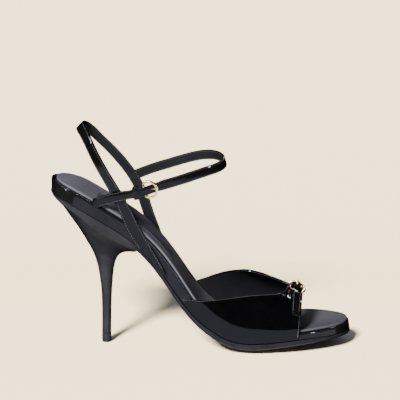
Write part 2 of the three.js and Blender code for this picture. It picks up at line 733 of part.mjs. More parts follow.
function prongPoints(place, strapWallHere) {
  const rise = strapWallHere / 2 + clearance + prongRadius;
  const over = (back, out) => {
    const frame = place.route.frameAt(place.barAt - back);
    return frame.point.clone().addScaledVector(frame.normal, out);
  };
  const start = place.bar.clone().addScaledVector(place.towards, barRadius + clearance + prongRadius);
  const arcTop = strapWallHere / 2 + 3.5 * clearance + 2 * wireRadius + prongRadius;
  return [
    start,
    over(place.arcBack * 0.52, 0),
    over(place.arcBack * 0.72, rise * 1.25),
    over(place.arcBack * 0.96, arcTop),
    over(place.arcBack + wireRadius * 1.3, arcTop),
  ];
}

// A leather loop round a strap and what lies under it
function makeKeeper(route, at, length, inner, wall) {
  const frame = route.frameAt(at);
  const outline = new THREE.Shape();
  const outset = (grow) => [
    [-inner.half - grow, inner.low - grow],
    [inner.half + grow, inner.low - grow],
    [inner.half + grow, inner.high + grow],
    [-inner.half - grow, inner.high + grow],
  ];
  const trace = (path) => ([across, out], i) => (i ? path.lineTo(across, out) : path.moveTo(across, out));
  outset(wall).forEach(trace(outline));
  const hole = new THREE.Path();
  outset(0).reverse().forEach(trace(hole));
  outline.holes.push(hole);
  const geometry = new THREE.ExtrudeGeometry(outline, { depth: length, bevelEnabled: false });
  geometry.translate(0, 0, -length / 2);
  const along = frame.across.clone().cross(frame.normal);
  const basis = new THREE.Matrix4().makeBasis(frame.across, frame.normal, along).setPosition(frame.point);
  geometry.applyMatrix4(basis);
  return geometry;
}

// Rear upper with the ankle strap, chape and holes
const chapeSkin = 0.7;
const chapeWall = 2 * (chapeSkin + clearance + barRadius);
const ankleBarAt = ankleRoute.places[14] - 2.5;
const ankleBarDepth = ankleWall / 2 + clearance + chapeWall / 2;
const anklePlace = placeBuckle(ankleRoute, ankleBarAt, ankleWall, ankleBarDepth);
const chapeEnd = ankleBarAt - chapeWall / 2;
const chapeRoot = ankleRoute.places[15] + 9;

function makeBackStrap() {
  const sling = strap(backRoute, 0, backRoute.length, 64, strapWall, (frame) => frame.width, 0);
  const tip = (frame, share) => frame.width * (share > 0.985 ? 0.6 : 1);
  const ankle = strap(ankleRoute, 0, ankleRoute.length, 66, ankleWall, tip, 0);
  const drop = -(ankleWall / 2 + clearance + chapeWall / 2);
  const chapeWidth = 2 * anklePlace.halfBar - 2.7;
  const chape = strap(ankleRoute, chapeEnd, chapeRoot, 8, chapeWall, () => chapeWidth, drop);
  const holeRadius = barRadius + clearance;
  const barHole = new THREE.CylinderGeometry(holeRadius, holeRadius, 4 * ringRadius, 10);
  barHole.translate(-barSet, 0, 0);
  barHole.applyMatrix4(anklePlace.basis);
  const prong = rod(prongPoints(anklePlace, ankleWall), prongRadius + clearance, anklePlace.flat);
  const sole = slab(seatBack, toeTip, (x) => platformBase(x), (x) => outsoleBase(x) + 30);
  const sewn = sling.add(ankle).add(chape.subtract(solid(barHole)));
  return sewn.subtract(prong).subtract(sole).subtract(soleCore());
}

// The belt over the front of the vamp: turn places it round the arch, lift raises it off the leather
const beltWall = 1.4;
const beltWidth = 6.3;
const beltX = vampFront - 3.3;
const beltRest = clearance + beltWall / 2;
const barRaise = 0.4;
const beltOverBar = beltRest + clearance + 2 * barRadius + barRaise;
const beltRows = [
  { turn: 0.13, high: 0 },
  { turn: 0.2, high: 0 },
  { turn: 0.27, high: 0 },
  { turn: 0.34, high: 0 },
  { turn: 0.41, high: 0 },
  { turn: 0.47, high: 0.1 },
  { turn: 0.53, high: 0.6 },
  { turn: 0.59, high: 1 },
  { turn: 0.65, high: 0.85 },
  { turn: 0.71, high: 0.4 },
  { turn: 0.77, high: 0.1 },
  { turn: 0.84, high: 0 },
];
const beltRoute = makeRoute(
  beltRows.map((row) => vampPoint(beltX, row.turn, vampWall)
    .addScaledVector(vampNormal(beltX, row.turn), mix(beltRest, beltOverBar, row.high))),
  beltRows.map((row) => vampNormal(beltX, row.turn)),
  beltRows.map(() => beltWidth),
);
const beltPlace = placeBuckle(beltRoute, beltRoute.places[7], beltWall, beltWall / 2 + clearance + barRadius);

function makeBelt() {
  const tip = (frame, share) => frame.width * (share > 0.97 ? 0.6 : 1);
  const belt = strap(beltRoute, 0, beltRoute.length, 34, beltWall, tip, 0);
  return belt.subtract(rod(prongPoints(beltPlace, beltWall), prongRadius + clearance, beltPlace.flat));
}

// Finishes
const patent = { color: 0x0b0b0d, roughness: 0.08, metalness: 0 };
const lining = { color: 0x1c1b1f, roughness: 0.45, metalness: 0 };
const rubber = { color: 0x161517, roughness: 0.5, metalness: 0 };
const gilt = { color: 0xd9b66a, roughness: 0.18, metalness: 1 };

const shoe = new THREE.Group();
function addPiece(name, shape, finish) {
  const geometry = shape.isBufferGeometry ? shape : toGeometry(shape);
  const mesh = new THREE.Mesh(geometry, new THREE.MeshStandardMaterial(finish));
  mesh.name = name;
  shoe.add(mesh);
}

const keeperInner = {
  half: ankleWidth / 2 + clearance,
  high: ankleWall / 2 + clearance,
  low: -(ankleWall / 2 + 2 * clearance + chapeWall),
};
const keeperLength = 4.6;
const keeperWall = 0.9;
const keeperAt = ankleBarAt + 6.4;

addPiece('outsole', makeOutsole(), rubber);
addPiece('platform', makePlatform(), patent);
addPiece('insole', makeInsole(), lining);
addPiece('heel', makeHeel(), patent);
addPiece('heel_tip', makeHeelTip(), rubber);
addPiece('vamp', makeVamp(), patent);
addPiece('back_strap', makeBackStrap(), patent);
addPiece('vamp_belt', makeBelt(), patent);
addPiece('vamp_buckle', makeBuckle(beltPlace), gilt);
addPiece('vamp_prong', rod(prongPoints(beltPlace, beltWall), prongRadius, beltPlace.flat), gilt);
addPiece('ankle_buckle', makeBuckle(anklePlace), gilt);
addPiece('ankle_prong', rod(prongPoints(anklePlace, ankleWall), prongRadius, anklePlace.flat), gilt);
addPiece('ankle_keeper', makeKeeper(ankleRoute, keeperAt, keeperLength, keeperInner, keeperWall), patent);

export default shoe;
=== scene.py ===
# %% [markdown]
# # A patent sandal with a high heel
# The shoe is a right shoe: a covered heel, a thin platform, an open-toed upper, a slung back strap
# and an ankle strap with a round buckle. The solids of the shoe come packed from the drawing. Here
# each leather piece is made again with the smooth skin, soft edges and stitches of the real one.
# The first step loads that frame.

# %% Load the frame
import bisect
import math
import bpy
from mathutils import Matrix, Vector


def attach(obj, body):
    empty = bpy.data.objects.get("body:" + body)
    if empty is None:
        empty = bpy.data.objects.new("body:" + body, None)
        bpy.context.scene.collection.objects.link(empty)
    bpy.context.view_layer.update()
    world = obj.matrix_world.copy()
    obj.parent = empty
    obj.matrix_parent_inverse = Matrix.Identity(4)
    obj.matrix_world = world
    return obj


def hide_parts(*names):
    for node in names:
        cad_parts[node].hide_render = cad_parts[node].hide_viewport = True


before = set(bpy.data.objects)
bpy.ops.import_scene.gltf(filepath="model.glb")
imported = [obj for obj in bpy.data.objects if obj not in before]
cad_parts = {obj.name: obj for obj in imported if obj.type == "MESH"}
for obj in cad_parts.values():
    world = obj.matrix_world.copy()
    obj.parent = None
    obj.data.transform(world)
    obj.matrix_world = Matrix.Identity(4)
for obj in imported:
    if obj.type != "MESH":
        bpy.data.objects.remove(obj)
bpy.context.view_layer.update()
MM = 0.001
print("solids loaded:", len(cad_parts))

# %% [markdown]
# ## The camera
# The photograph was taken from the outer side with a long lens, a little above the shoe. A long lens
# flattens the view, so the far edge of the foot bed looks almost as large as the near one. The lens,
# distance and angles were read from the ellipses of the heel tip, the seat and the toe.

# %% Camera
camera_turn = math.radians(2.5)
camera_height = math.radians(11.8)
camera_distance = 2.0
aim = Vector((-0.031, 0.0, 0.107))
towards_camera = Vector((
    math.sin(camera_turn) * math.cos(camera_height),
    -math.cos(camera_turn) * math.cos(camera_height),
    math.sin(camera_height),
))
camera_data = bpy.data.cameras.new("camera")
camera_data.lens = 246.6
camera_data.sensor_width = 36
camera = bpy.data.objects.new("camera", camera_data)
bpy.context.collection.objects.link(camera)
camera.location = aim + camera_distance * towards_camera
camera.rotation_euler = (-towards_camera).to_track_quat("-Z", "Y").to_euler()
bpy.context.scene.camera = camera
print("camera at", [round(part, 3) for part in camera.location])

# %% [markdown]
# ## Sizes of the last
# A shoe is built on a last, a block with the shape of a foot. Its sizes are few: how the foot bed
# rises and how wide it is, row by row from the seat to the toe. A smooth curve goes through each
# column, as a pattern cutter bends a thin strip of wood through marked points.

# %% The last's table
insole_run = 212.6
seat_back = -135.6
heel_rise = 114
toe_spring = 8.3
ball_width = 71.7
seat_radius = 24
toe_radius = 48
foot_crown = 4.3
clearance = 0.3
insole_thickness = 1.6
platform_depth = 9.2
outsole_thickness = 4
seat_welt = 3.8
outsole_ledge = 1.2
floor_cut = 0.5

last_columns = ("along", "rise", "spring", "middle", "half", "depth", "welt", "crown", "sole", "ledge")
last_rows = [
    (0, 1, 0, 0, 0.356, 1, 1, 0, 0.6, 1),
    (0.064, 0.958, 0, 0, 0.356, 1, 1, 0, 0.6, 1),
    (0.143, 0.879, 0, -0.003, 0.357, 0.99, 0.9, 0, 0.6, 1),
    (0.223, 0.789, 0, -0.01, 0.351, 0.98, 0.75, 0, 0.6, 1),
    (0.298, 0.691, 0, -0.02, 0.335, 0.98, 0.6, 0, 0.6, 1),
    (0.354, 0.589, 0, -0.028, 0.318, 0.96, 0.52, 0, 0.6, 1),
    (0.401, 0.479, 0, -0.035, 0.312, 0.93, 0.5, 0, 0.6, 1),
    (0.448, 0.342, 0, -0.039, 0.326, 0.87, 0.48, 0.1, 0.65, 1),
    (0.494, 0.204, 0, -0.038, 0.357, 0.78, 0.48, 0.33, 0.75, 1),
    (0.551, 0.082, 0, -0.027, 0.413, 0.66, 0.48, 0.73, 0.9, 1),
    (0.616, 0.011, 0, -0.014, 0.471, 0.58, 0.48, 1, 1, 1),
    (0.71, 0, 0, 0.009, 0.5, 0.565, 0.48, 1, 1, 1),
    (0.813, 0, 0.31, 0.032, 0.487, 0.57, 0.46, 0.87, 0.9, 1),
    (0.906, 0, 0.69, 0.052, 0.455, 0.6, 0.4, 0.6, 0.75, 0.6),
    (1, 0, 1, 0.07, 0.432, 0.62, 0.3, 0.27, 0.6, 0),
]
print("rows of the last:", len(last_rows))

# %% [markdown]
# ## Smooth curves through a table
# This is the wooden strip: a natural cubic curve, which bends as little as it can between the rows
# and runs straight on past the ends.

# %% Curves
def strip(places, values):
    end = len(places) - 1
    gap = [places[i + 1] - places[i] for i in range(end)]
    slope = [(values[i + 1] - values[i]) / gap[i] for i in range(end)]
    pivot, load = [1.0], [0.0]
    for i in range(1, end):
        share = gap[i - 1] / pivot[i - 1] if i > 1 else 0
        pivot.append(2 * (gap[i - 1] + gap[i]) - share * gap[i - 1])
        load.append(6 * (slope[i] - slope[i - 1]) - share * load[i - 1])
    bend = [0.0] * (end + 1)
    for i in range(end - 1, 0, -1):
        bend[i] = (load[i] - gap[i] * bend[i + 1]) / pivot[i]
    first = slope[0] - gap[0] * bend[1] / 6
    final = slope[-1] + gap[-1] * bend[end - 1] / 6

    def at(place):
        if place <= places[0]:
            return values[0] + (place - places[0]) * first
        if place >= places[-1]:
            return values[-1] + (place - places[-1]) * final
        i = min(bisect.bisect_left(places, place, 1) - 1, end - 1)
        near, far = place - places[i], places[i + 1] - place
        curved = (bend[i + 1] * near ** 3 + bend[i] * far ** 3) / (6 * gap[i])
        right = (values[i + 1] / gap[i] - bend[i + 1] * gap[i] / 6) * near
        left = (values[i] / gap[i] - bend[i] * gap[i] / 6) * far
        return curved + right + left
    return at


def columns(names, rows):
    places = [row[0] for row in rows]
    return {name: strip(places, [row[i] for row in rows]) for i, name in enumerate(names)}


def mix(start, end, share):
    return start + (end - start) * share


def clamp(value, low=0.0, high=1.0):
    return min(high, max(low, value))


last = columns(last_columns, last_rows)
toe_tip = seat_back + insole_run
ball_stack = insole_thickness + platform_depth * 0.565 + outsole_thickness + 2 * clearance - floor_cut
print("foot bed at the ball, mm above the floor:", round(ball_stack, 2))

# %% [markdown]
# ## Heights and edges of the foot bed
# Everything in the shoe hangs on this one surface. `bed` is its height, `edge` its outline, and
# `under_bed` finds a point at a depth square to it, because layers of leather are stacked square
# to the foot bed even where it is steep.

# %% The foot bed
def along_of(x):
    return (x - seat_back) / insole_run


def x_of(along):
    return seat_back + along * insole_run


def held(x):
    return clamp(along_of(x))


def bed(x):
    along = along_of(x)
    return ball_stack + heel_rise * last["rise"](along) + toe_spring * last["spring"](along)


def crown(x):
    return foot_crown * max(0, last["crown"](held(x)))


def welt(x):
    return seat_welt * last["welt"](held(x))


platform_top = insole_thickness + clearance


def platform_base(x):
    return platform_top + platform_depth * last["depth"](held(x))


def outsole_top(x):
    return platform_base(x) + clearance


def outsole_base(x):
    return outsole_top(x) + outsole_thickness * last["sole"](held(x))


def round_end(share):
    roundness = 2.15
    return 1 if share >= 1 else (1 - (1 - clamp(share)) ** roundness) ** (1 / roundness)


def edge(x, side, grow):
    half = ball_width * last["half"](held(x)) + grow
    heel_end = round_end((x - seat_back + grow) / (seat_radius + grow))
    toe_end = round_end((toe_tip + grow - x) / (toe_radius + grow))
    return ball_width * last["middle"](held(x)) + side * half * heel_end * toe_end


def under_bed(x, y, depth):
    upright = clamp((x - seat_back + seat_welt) / seat_radius)
    slope = (bed(x + 0.5) - bed(x - 0.5)) * upright
    length = math.hypot(1, slope)
    middle = ball_width * last["middle"](held(x))
    spread = (y - middle) / (ball_width * last["half"](held(x)))
    down = depth - crown(x) * min(spread ** 2, 1.6)
    return Vector((x + down * slope / length, y, bed(x) - down / length))


print("seat height, mm:", round(bed(seat_back), 1), " toe height, mm:", round(bed(toe_tip), 1))

# %% [markdown]
# ## From flat sheet to formed piece
# A shoemaker cuts leather flat and pulls it over the last. The same is done here: a flat grid is
# added, and each of its points is moved to its place on the shoe. `u` runs along the piece and `v`
# across it, both from 0 to 1. Where a sheet closes on itself, as on a wrapped strap, the doubled
# points are merged afterwards. This was chosen over sculpting because a mirror-like skin shows every
# dent, and a grid formed by smooth curves has none.

# %% Forming
def deselect():
    if bpy.context.mode != "OBJECT":
        bpy.ops.object.mode_set(mode="OBJECT")
    bpy.ops.object.select_all(action="DESELECT")


def only(piece):
    deselect()
    piece.select_set(True)
    bpy.context.view_layer.objects.active = piece


def form(name, along, across, place, inside=None):
    deselect()
    bpy.ops.mesh.primitive_grid_add(x_subdivisions=along, y_subdivisions=across, size=1)
    piece = bpy.context.object
    piece.name = piece.data.name = name
    if inside is not None:
        piece.data.materials.append(None)
        piece.data.materials.append(None)
        for face in piece.data.polygons:
            face.material_index = int(inside[0] < face.center.y + 0.5 < inside[1])
    for vertex in piece.data.vertices:
        u, v = clamp(vertex.co.x + 0.5), clamp(vertex.co.y + 0.5)
        vertex.co = Vector(place(u, v)) * MM
    return piece


def close(piece, cap=True, sharp=35):
    only(piece)
    bpy.ops.object.mode_set(mode="EDIT")
    bpy.ops.mesh.select_all(action="SELECT")
    bpy.ops.mesh.remove_doubles(threshold=0.000004)
    bpy.ops.mesh.dissolve_degenerate(threshold=0.000002)
    if cap:
        bpy.ops.mesh.select_all(action="DESELECT")
        bpy.ops.mesh.select_mode(type="EDGE")
        bpy.ops.mesh.select_non_manifold(extend=False, use_wire=True, use_boundary=True)
        bpy.ops.mesh.edge_face_add()
    bpy.ops.mesh.select_all(action="SELECT")
    bpy.ops.mesh.normals_make_consistent(inside=False)
    bpy.ops.object.mode_set(mode="OBJECT")
    bpy.ops.object.shade_smooth_by_angle(angle=math.radians(sharp))
    return piece


def dress(piece, *finishes):
    while len(piece.data.materials) < len(finishes):
        piece.data.materials.append(None)
    for i, finish in enumerate(finishes):
        piece.data.materials[i] = finish


def finish_piece(piece, slot, material, *nodes):
    if not piece.data.materials or piece.data.materials[0] is None:
        dress(piece, material)
    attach(piece, "root")
    if nodes:
        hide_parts(*nodes)
    print(piece.name, "faces:", len(piece.data.polygons))


def join(pieces, name):
    deselect()
    for piece in pieces:
        piece.select_set(True)
    bpy.context.view_layer.objects.active = pieces[0]
    bpy.ops.object.join()
    pieces[0].name = pieces[0].data.name = name
    return pieces[0]

# %% [markdown]
# ## Floor and light
# The floor is pale and plain; a band just behind the shoe is painted darker, as painted shade. The
# main light comes from the front, from the left and above, so the shadows fall behind and to the
# right, and a faint even light fills them. Patent leather is a black mirror: what it shows is the
# room, here a dark one. The floor and the main light therefore stay out of its reflections. Cards
# stand in for the pale floor in front of the shoe, and thin strips draw the glints along its edges.

# %% Floor
def soft_ramp(tree, source, stops):
    ramp = tree.nodes.new("ShaderNodeValToRGB")
    tree.links.new(source, ramp.inputs["Fac"])
    while len(ramp.color_ramp.elements) < len(stops):
        ramp.color_ramp.elements.new(0.5)
    for element, (place, colour) in zip(ramp.color_ramp.elements, stops):
        element.position = place
        element.color = colour if len(colour) == 4 else (*colour, 1)
    return ramp.outputs["Color"]


def measured(tree, source, low, high, to_low=0.0, to_high=1.0):
    node = tree.nodes.new("ShaderNodeMapRange")
    tree.links.new(source, node.inputs["Value"])
    node.inputs["From Min"].default_value = low
    node.inputs["From Max"].default_value = high
    node.inputs["To Min"].default_value = to_low
    node.inputs["To Max"].default_value = to_high
    return node.outputs["Result"]


def place_of(tree):
    return tree.nodes.new("ShaderNodeTexCoord").outputs["Object"]


deselect()
bpy.ops.mesh.primitive_plane_add(size=14, location=(0, 0, 0))
floor = bpy.context.object
floor.name = "floor"
floor_paint = bpy.data.materials.new("studio floor")
floor_paint.use_nodes = True
tree = floor_paint.node_tree
split = tree.nodes.new("ShaderNodeSeparateXYZ")
tree.links.new(place_of(tree), split.inputs[0])
depth_behind = measured(tree, split.outputs["Y"], -0.5, 1.5)
# The ramp darkens a band from just behind the shoe to about 0.45 m back: painted shade.
floor_colour_with_painted_shade = soft_ramp(tree, depth_behind, [
    (0.0, (0.86, 0.80, 0.67)),
    (0.27, (0.84, 0.77, 0.64)),
    (0.36, (0.80, 0.73, 0.60)),
    (0.47, (0.85, 0.79, 0.66)),
    (1.0, (0.87, 0.81, 0.68)),
])
floor_shader = tree.nodes["Principled BSDF"]
tree.links.new(floor_colour_with_painted_shade, floor_shader.inputs["Base Color"])
floor_shader.inputs["Roughness"].default_value = 0.9
floor_shader.inputs["Specular IOR Level"].default_value = 0.1
floor.data.materials.append(floor_paint)
print("floor side, m:", round(floor.dimensions.x, 1))

# %% Lights
def add_reflected_light(name, spot, target, size, power, tint):
    data = bpy.data.lights.new(name, "AREA")
    data.shape = "RECTANGLE"
    data.size, data.size_y = size
    data.energy = power
    data.color = tint
    lamp = bpy.data.objects.new(name, data)
    bpy.context.collection.objects.link(lamp)
    lamp.location = spot
    lamp.rotation_euler = (Vector(target) - Vector(spot)).to_track_quat("-Z", "Y").to_euler()
    lamp.visible_diffuse = False
    lamp.visible_camera = False
    return lamp


shoe_middle = (-0.03, 0, 0.06)
sun_data = bpy.data.lights.new("main light", "SUN")
sun_data.energy = 24
sun_data.angle = math.radians(12)
sun_data.color = (1, 0.88, 0.6)
sun = bpy.data.objects.new("main light", sun_data)
bpy.context.collection.objects.link(sun)
sun.rotation_euler = Vector((0.28, 0.81, -0.56)).to_track_quat("-Z", "Y").to_euler()
sun.visible_glossy = False
floor.visible_glossy = False
warm_white = (1, 0.96, 0.88)
add_reflected_light("left strip", (-1.5, -0.9, 1.0), shoe_middle, (0.03, 0.7), 60, warm_white)
add_reflected_light("right strip", (1.4, -1.0, 0.7), shoe_middle, (0.04, 0.8), 26, warm_white)
add_reflected_light("back strip", (0.3, 1.3, 1.5), shoe_middle, (1.0, 0.03), 14, warm_white)
add_reflected_light("top strip", (-0.62, -0.1, 2.0), shoe_middle, (0.9, 0.03), 19, warm_white)

world = bpy.data.worlds.new("pale room")
world.use_nodes = True
world.node_tree.nodes["Background"].inputs["Color"].default_value = (0.75, 0.82, 1, 1)
world.node_tree.nodes["Background"].inputs["Strength"].default_value = 0.22
world.cycles_visibility.glossy = False
bpy.context.scene.world = world
card_tint = (1, 0.9, 0.66)
add_reflected_light("floor card", (0.1, -0.91, 0.001), (0.1, -0.91, 1), (2.4, 1.78), 36, card_tint)
add_reflected_light("low card", (0.1, -1.8, 0.07), (0.1, 0, 0.07), (2.4, 0.14), 2.6, card_tint)

# %% [markdown]
# ## Finishes
# Patent leather is split leather with a thick clear film. It is made as a black base under a smooth
# coat. Two bumps disturb the coat: a slow one for the pull of the leather over the last, and a fine
# one for the skin of the film. Handling leaves faint smears, so the film's roughness varies a
# little too.

# %% Patent leather
def noise(tree, place, scale, detail=2.0, rough=0.5):
    node = tree.nodes.new("ShaderNodeTexNoise")
    node.inputs["Scale"].default_value = scale
    node.inputs["Detail"].default_value = detail
    node.inputs["Roughness"].default_value = rough
    tree.links.new(place, node.inputs["Vector"])
    return node.outputs["Fac"]


def bump(tree, height, distance, strength=1.0, under=None):
    node = tree.nodes.new("ShaderNodeBump")
    node.inputs["Strength"].default_value = strength
    node.inputs["Distance"].default_value = distance
    tree.links.new(height, node.inputs["Height"])
    if under is not None:
        tree.links.new(under, node.inputs["Normal"])
    return node.outputs["Normal"]


def new_finish(name):
    material = bpy.data.materials.new(name)
    material.use_nodes = True
    return material, material.node_tree, material.node_tree.nodes["Principled BSDF"]


def patent_finish(name, pull, skin, smear, dark, gloss=0.05, mirror=0.2):
    material, tree, shader = new_finish(name)
    place = place_of(tree)
    slow = bump(tree, noise(tree, place, 38, 1.0), pull)
    fine = bump(tree, noise(tree, place, 420, 2.0), skin, under=slow)
    smears = noise(tree, place, 75, 4.0, 0.65)
    colour = soft_ramp(tree, smears, [(0.3, dark), (0.75, tuple(1.8 * part for part in dark))])
    tree.links.new(colour, shader.inputs["Base Color"])
    tree.links.new(measured(tree, smears, 0.35, 0.8, gloss, gloss + smear), shader.inputs["Roughness"])
    tree.links.new(fine, shader.inputs["Normal"])
    tree.links.new(fine, shader.inputs["Coat Normal"])
    shader.inputs["Specular IOR Level"].default_value = mirror
    shader.inputs["Specular Tint"].default_value = (0.45, 0.52, 1, 1)
    shader.inputs["Coat Weight"].default_value = 0.05
    shader.inputs["Coat Roughness"].default_value = 0.03
    shader.inputs["Coat IOR"].default_value = 1.5
    return material


patent_upper = patent_finish("patent upper", 0.0005, 0.000012, 0.05, (0.0004, 0.00045, 0.0008))
patent_wrap = patent_finish("patent wrap", 0.0002, 0.000008, 0.07, (0.0016, 0.0018, 0.003))
heel_wrap = patent_finish("heel wrap", 0.00008, 0.000002, 0.08,
                          (0.0054, 0.006, 0.0108), 0.3, 0.06)
patent_strap = patent_finish("patent strap", 0.0001, 0.00001, 0.08, (0.0009, 0.001, 0.0016))
print("patent finishes made: 4")

# %% [markdown]
# The foot bed is covered with smooth satin leather. It has fine pores and a soft mottle, and its
# grain is too small to see at arm's length but breaks up the light. The lining inside the vamp is
# the same hide, darker. Walls of pores come from a cell pattern, which is how real grain divides.
# The foot bed's colour is painted paler at the seat and darker towards the toe: painted sheen.

# %% Satin leather
def satin_finish(name, dark, pale, roughness, cells=950, depth=0.00003, seat_painted_sheen=1, toe_painted_sheen=1):
    material, tree, shader = new_finish(name)
    place = place_of(tree)
    mottle = noise(tree, place, 55, 4.0, 0.6)
    pores = tree.nodes.new("ShaderNodeTexVoronoi")
    pores.feature = "DISTANCE_TO_EDGE"
    pores.inputs["Scale"].default_value = cells
    tree.links.new(place, pores.inputs["Vector"])
    grain = measured(tree, pores.outputs["Distance"], 0.0, 0.12)
    along = tree.nodes.new("ShaderNodeSeparateXYZ")
    tree.links.new(place, along.inputs["Vector"])
    # Scales the colour along the length, paler at the seat and darker towards the toe: painted sheen.
    tone = tree.nodes.new("ShaderNodeVectorMath")
    tone.operation = "SCALE"
    tree.links.new(soft_ramp(tree, mottle, [(0.3, dark), (0.72, pale)]), tone.inputs[0])
    tree.links.new(measured(tree, along.outputs["X"], -0.08, 0.04, seat_painted_sheen, toe_painted_sheen), tone.inputs["Scale"])
    tree.links.new(tone.outputs["Vector"], shader.inputs["Base Color"])
    tree.links.new(measured(tree, mottle, 0.3, 0.75, roughness, roughness + 0.1), shader.inputs["Roughness"])
    soft = bump(tree, noise(tree, place, 120, 2.0), 0.00012)
    tree.links.new(bump(tree, grain, depth, under=soft), shader.inputs["Normal"])
    shader.inputs["Specular IOR Level"].default_value = 0.12
    shader.inputs["Specular Tint"].default_value = (0.6, 0.66, 1, 1)
    return material


# The foot bed's grey-blue is partly its own dark colour and partly painted sheen; the seat is painted paler
# still.
bed_leather = satin_finish(
    "foot bed leather", (0.0265, 0.029, 0.050), (0.033, 0.036, 0.062), 0.42, seat_painted_sheen=1.3, toe_painted_sheen=0.8)
label_leather = satin_finish(
    "blank panel", (0.019, 0.021, 0.038), (0.024, 0.0265, 0.047), 0.34, 1300, 0.000015)
lining_leather = satin_finish("lining leather", (0.003, 0.0034, 0.006), (0.005, 0.0056, 0.0098), 0.4)
print("satin finishes made: 3")

# %% [markdown]
# The outsole is hard rubber with a moulded skin, the heel's top lift a harder and shinier one. The
# buckles are brass with a pale gold plating, polished, with hairlines from handling. Thread is a
# black filament with a slight shine; its colour is lightened to a dark grey as a painted glint.

# %% Rubber, gilt and thread
def rubber_finish(name, colour, roughness, scale):
    material, tree, shader = new_finish(name)
    place = place_of(tree)
    dust = noise(tree, place, 90, 4.0, 0.6)
    paler = tuple(part * 1.7 for part in colour)
    tree.links.new(soft_ramp(tree, dust, [(0.35, colour), (0.8, paler)]), shader.inputs["Base Color"])
    tree.links.new(measured(tree, dust, 0.3, 0.8, roughness, roughness + 0.14), shader.inputs["Roughness"])
    tree.links.new(bump(tree, noise(tree, place, scale, 3.0), 0.00003), shader.inputs["Normal"])
    shader.inputs["Specular IOR Level"].default_value = 0.07
    shader.inputs["Specular Tint"].default_value = (0.5, 0.56, 1, 1)
    return material


sole_rubber = rubber_finish("sole rubber", (0.004, 0.0044, 0.0078), 0.34, 900)
lift_rubber = rubber_finish("top lift rubber", (0.006, 0.0066, 0.0112), 0.36, 700)

gilt, tree, shader = new_finish("pale gold plating")
place = place_of(tree)
tarnish = noise(tree, place, 260, 3.0, 0.6)
gold_colour = soft_ramp(tree, tarnish, [(0.25, (0.80, 0.62, 0.34)), (0.8, (0.92, 0.76, 0.49))])
tree.links.new(gold_colour, shader.inputs["Base Color"])
tree.links.new(measured(tree, tarnish, 0.3, 0.8, 0.08, 0.2), shader.inputs["Roughness"])
tree.links.new(bump(tree, noise(tree, place, 2600, 1.0), 0.000004), shader.inputs["Normal"])
shader.inputs["Metallic"].default_value = 1

thread, tree, shader = new_finish("thread")
place = place_of(tree)
twist = tree.nodes.new("ShaderNodeTexWave")
twist.inputs["Scale"].default_value = 900
tree.links.new(place, twist.inputs["Vector"])
# The thread's colour is lightened above black: painted glint for the light dots of the stitches.
thread_colour_with_painted_glint = soft_ramp(tree, twist.outputs["Fac"], [(0, (0.017, 0.019, 0.03)), (1, (0.056, 0.061, 0.092))])
tree.links.new(thread_colour_with_painted_glint, shader.inputs["Base Color"])
tree.links.new(bump(tree, twist.outputs["Fac"], 0.00004), shader.inputs["Normal"])
shader.inputs["Roughness"].default_value = 0.32
print("finishes:", len(bpy.data.materials))

# %% [markdown]
# ## The sole's layers
# Under the foot lie three layers: the satin foot bed, the platform wrapped in patent leather, and
# the rubber outsole. Each is one sheet rolled round its own section: over the top, down the rounded
# edge, and back under. The section is a list of stops. Each stop says how far across it lies, how
# far in from the edge, and how far down from the layer's top or up from its base.

# %% Sections of a layer
def section(across, top_in, top_down, base_in, base_up, sides=5, turns=6):
    over = [(mix(-1, 1, i / across), top_in, "top", 0) for i in range(across + 1)]
    quarter = [math.pi / 2 * i / turns for i in range(1, turns + 1)]
    shoulder = [(1, top_in * (1 - math.sin(a)), "top", top_down * (1 - math.cos(a))) for a in quarter]
    wall = [(1, 0, "wall", i / sides) for i in range(1, sides)]
    heel_turn = [(1, base_in * (1 - math.cos(a)), "base", base_up * (1 - math.sin(a))) for a in [0] + quarter]
    side = shoulder + wall + heel_turn
    back = [(mix(1, -1, i / across), base_in, "base", 0) for i in range(1, across + 1)]
    mirrored = [(-stop[0], *stop[1:]) for stop in reversed(side[:-1])]
    return over + side + back + mirrored + [over[0]], top_down, base_up


def layer_point(x, stop, ends, grow, top, base):
    lateral, inset, kind, amount = stop
    left, right = edge(x, -1, grow(x)), edge(x, 1, grow(x))
    inset = min(inset, (right - left) * 0.3)
    high, low = top(x) + ends[0], base(x) - ends[1]
    depth = {"top": top(x) + amount, "wall": mix(high, low, amount), "base": base(x) - amount}[kind]
    return under_bed(x, mix(left + inset, right - inset, (lateral + 1) / 2), depth)


def layer(name, steps, place_at, shape, grow, top, base, floor_at=None):
    stops, *ends = shape

    def place(u, v):
        stop = stops[round(v * (len(stops) - 1))]
        point = layer_point(place_at(u), stop, ends, grow, top, base)
        if floor_at is not None:
            point.z = max(point.z, floor_at)
        return point
    return close(form(name, steps, len(stops) - 1, place))


def both_ends(grow):
    start, finish = seat_back - grow(seat_back), toe_tip + grow(toe_tip)
    return lambda u: mix(start + 0.0004, finish - 0.0004, (1 - math.cos(math.pi * u)) / 2)


print("stops in a section:", len(section(16, 2, 2, 0.3, 0.3)[0]))

# %% [markdown]
# The foot bed is thin and soft-edged. The platform's top edge is the roundest, because the leather
# is pulled over foam there, and its lower edge is crisp where it meets the outsole.

# %% Foot bed and platform
def no_growth(x):
    return 0


foot_bed = layer("foot_bed", 150, both_ends(no_growth), section(22, 0.9, 0.7, 0.1, 0.2, 3, 4),
                 no_growth, lambda x: 0, lambda x: insole_thickness)
finish_piece(foot_bed, "sock_leather", bed_leather, "insole")

platform_cover = layer("platform_cover", 190, both_ends(welt), section(14, 1.9, 1.7, 0.35, 0.3, 7, 7),
                       welt, lambda x: platform_top, platform_base)
finish_piece(platform_cover, "patent", patent_wrap, "platform")

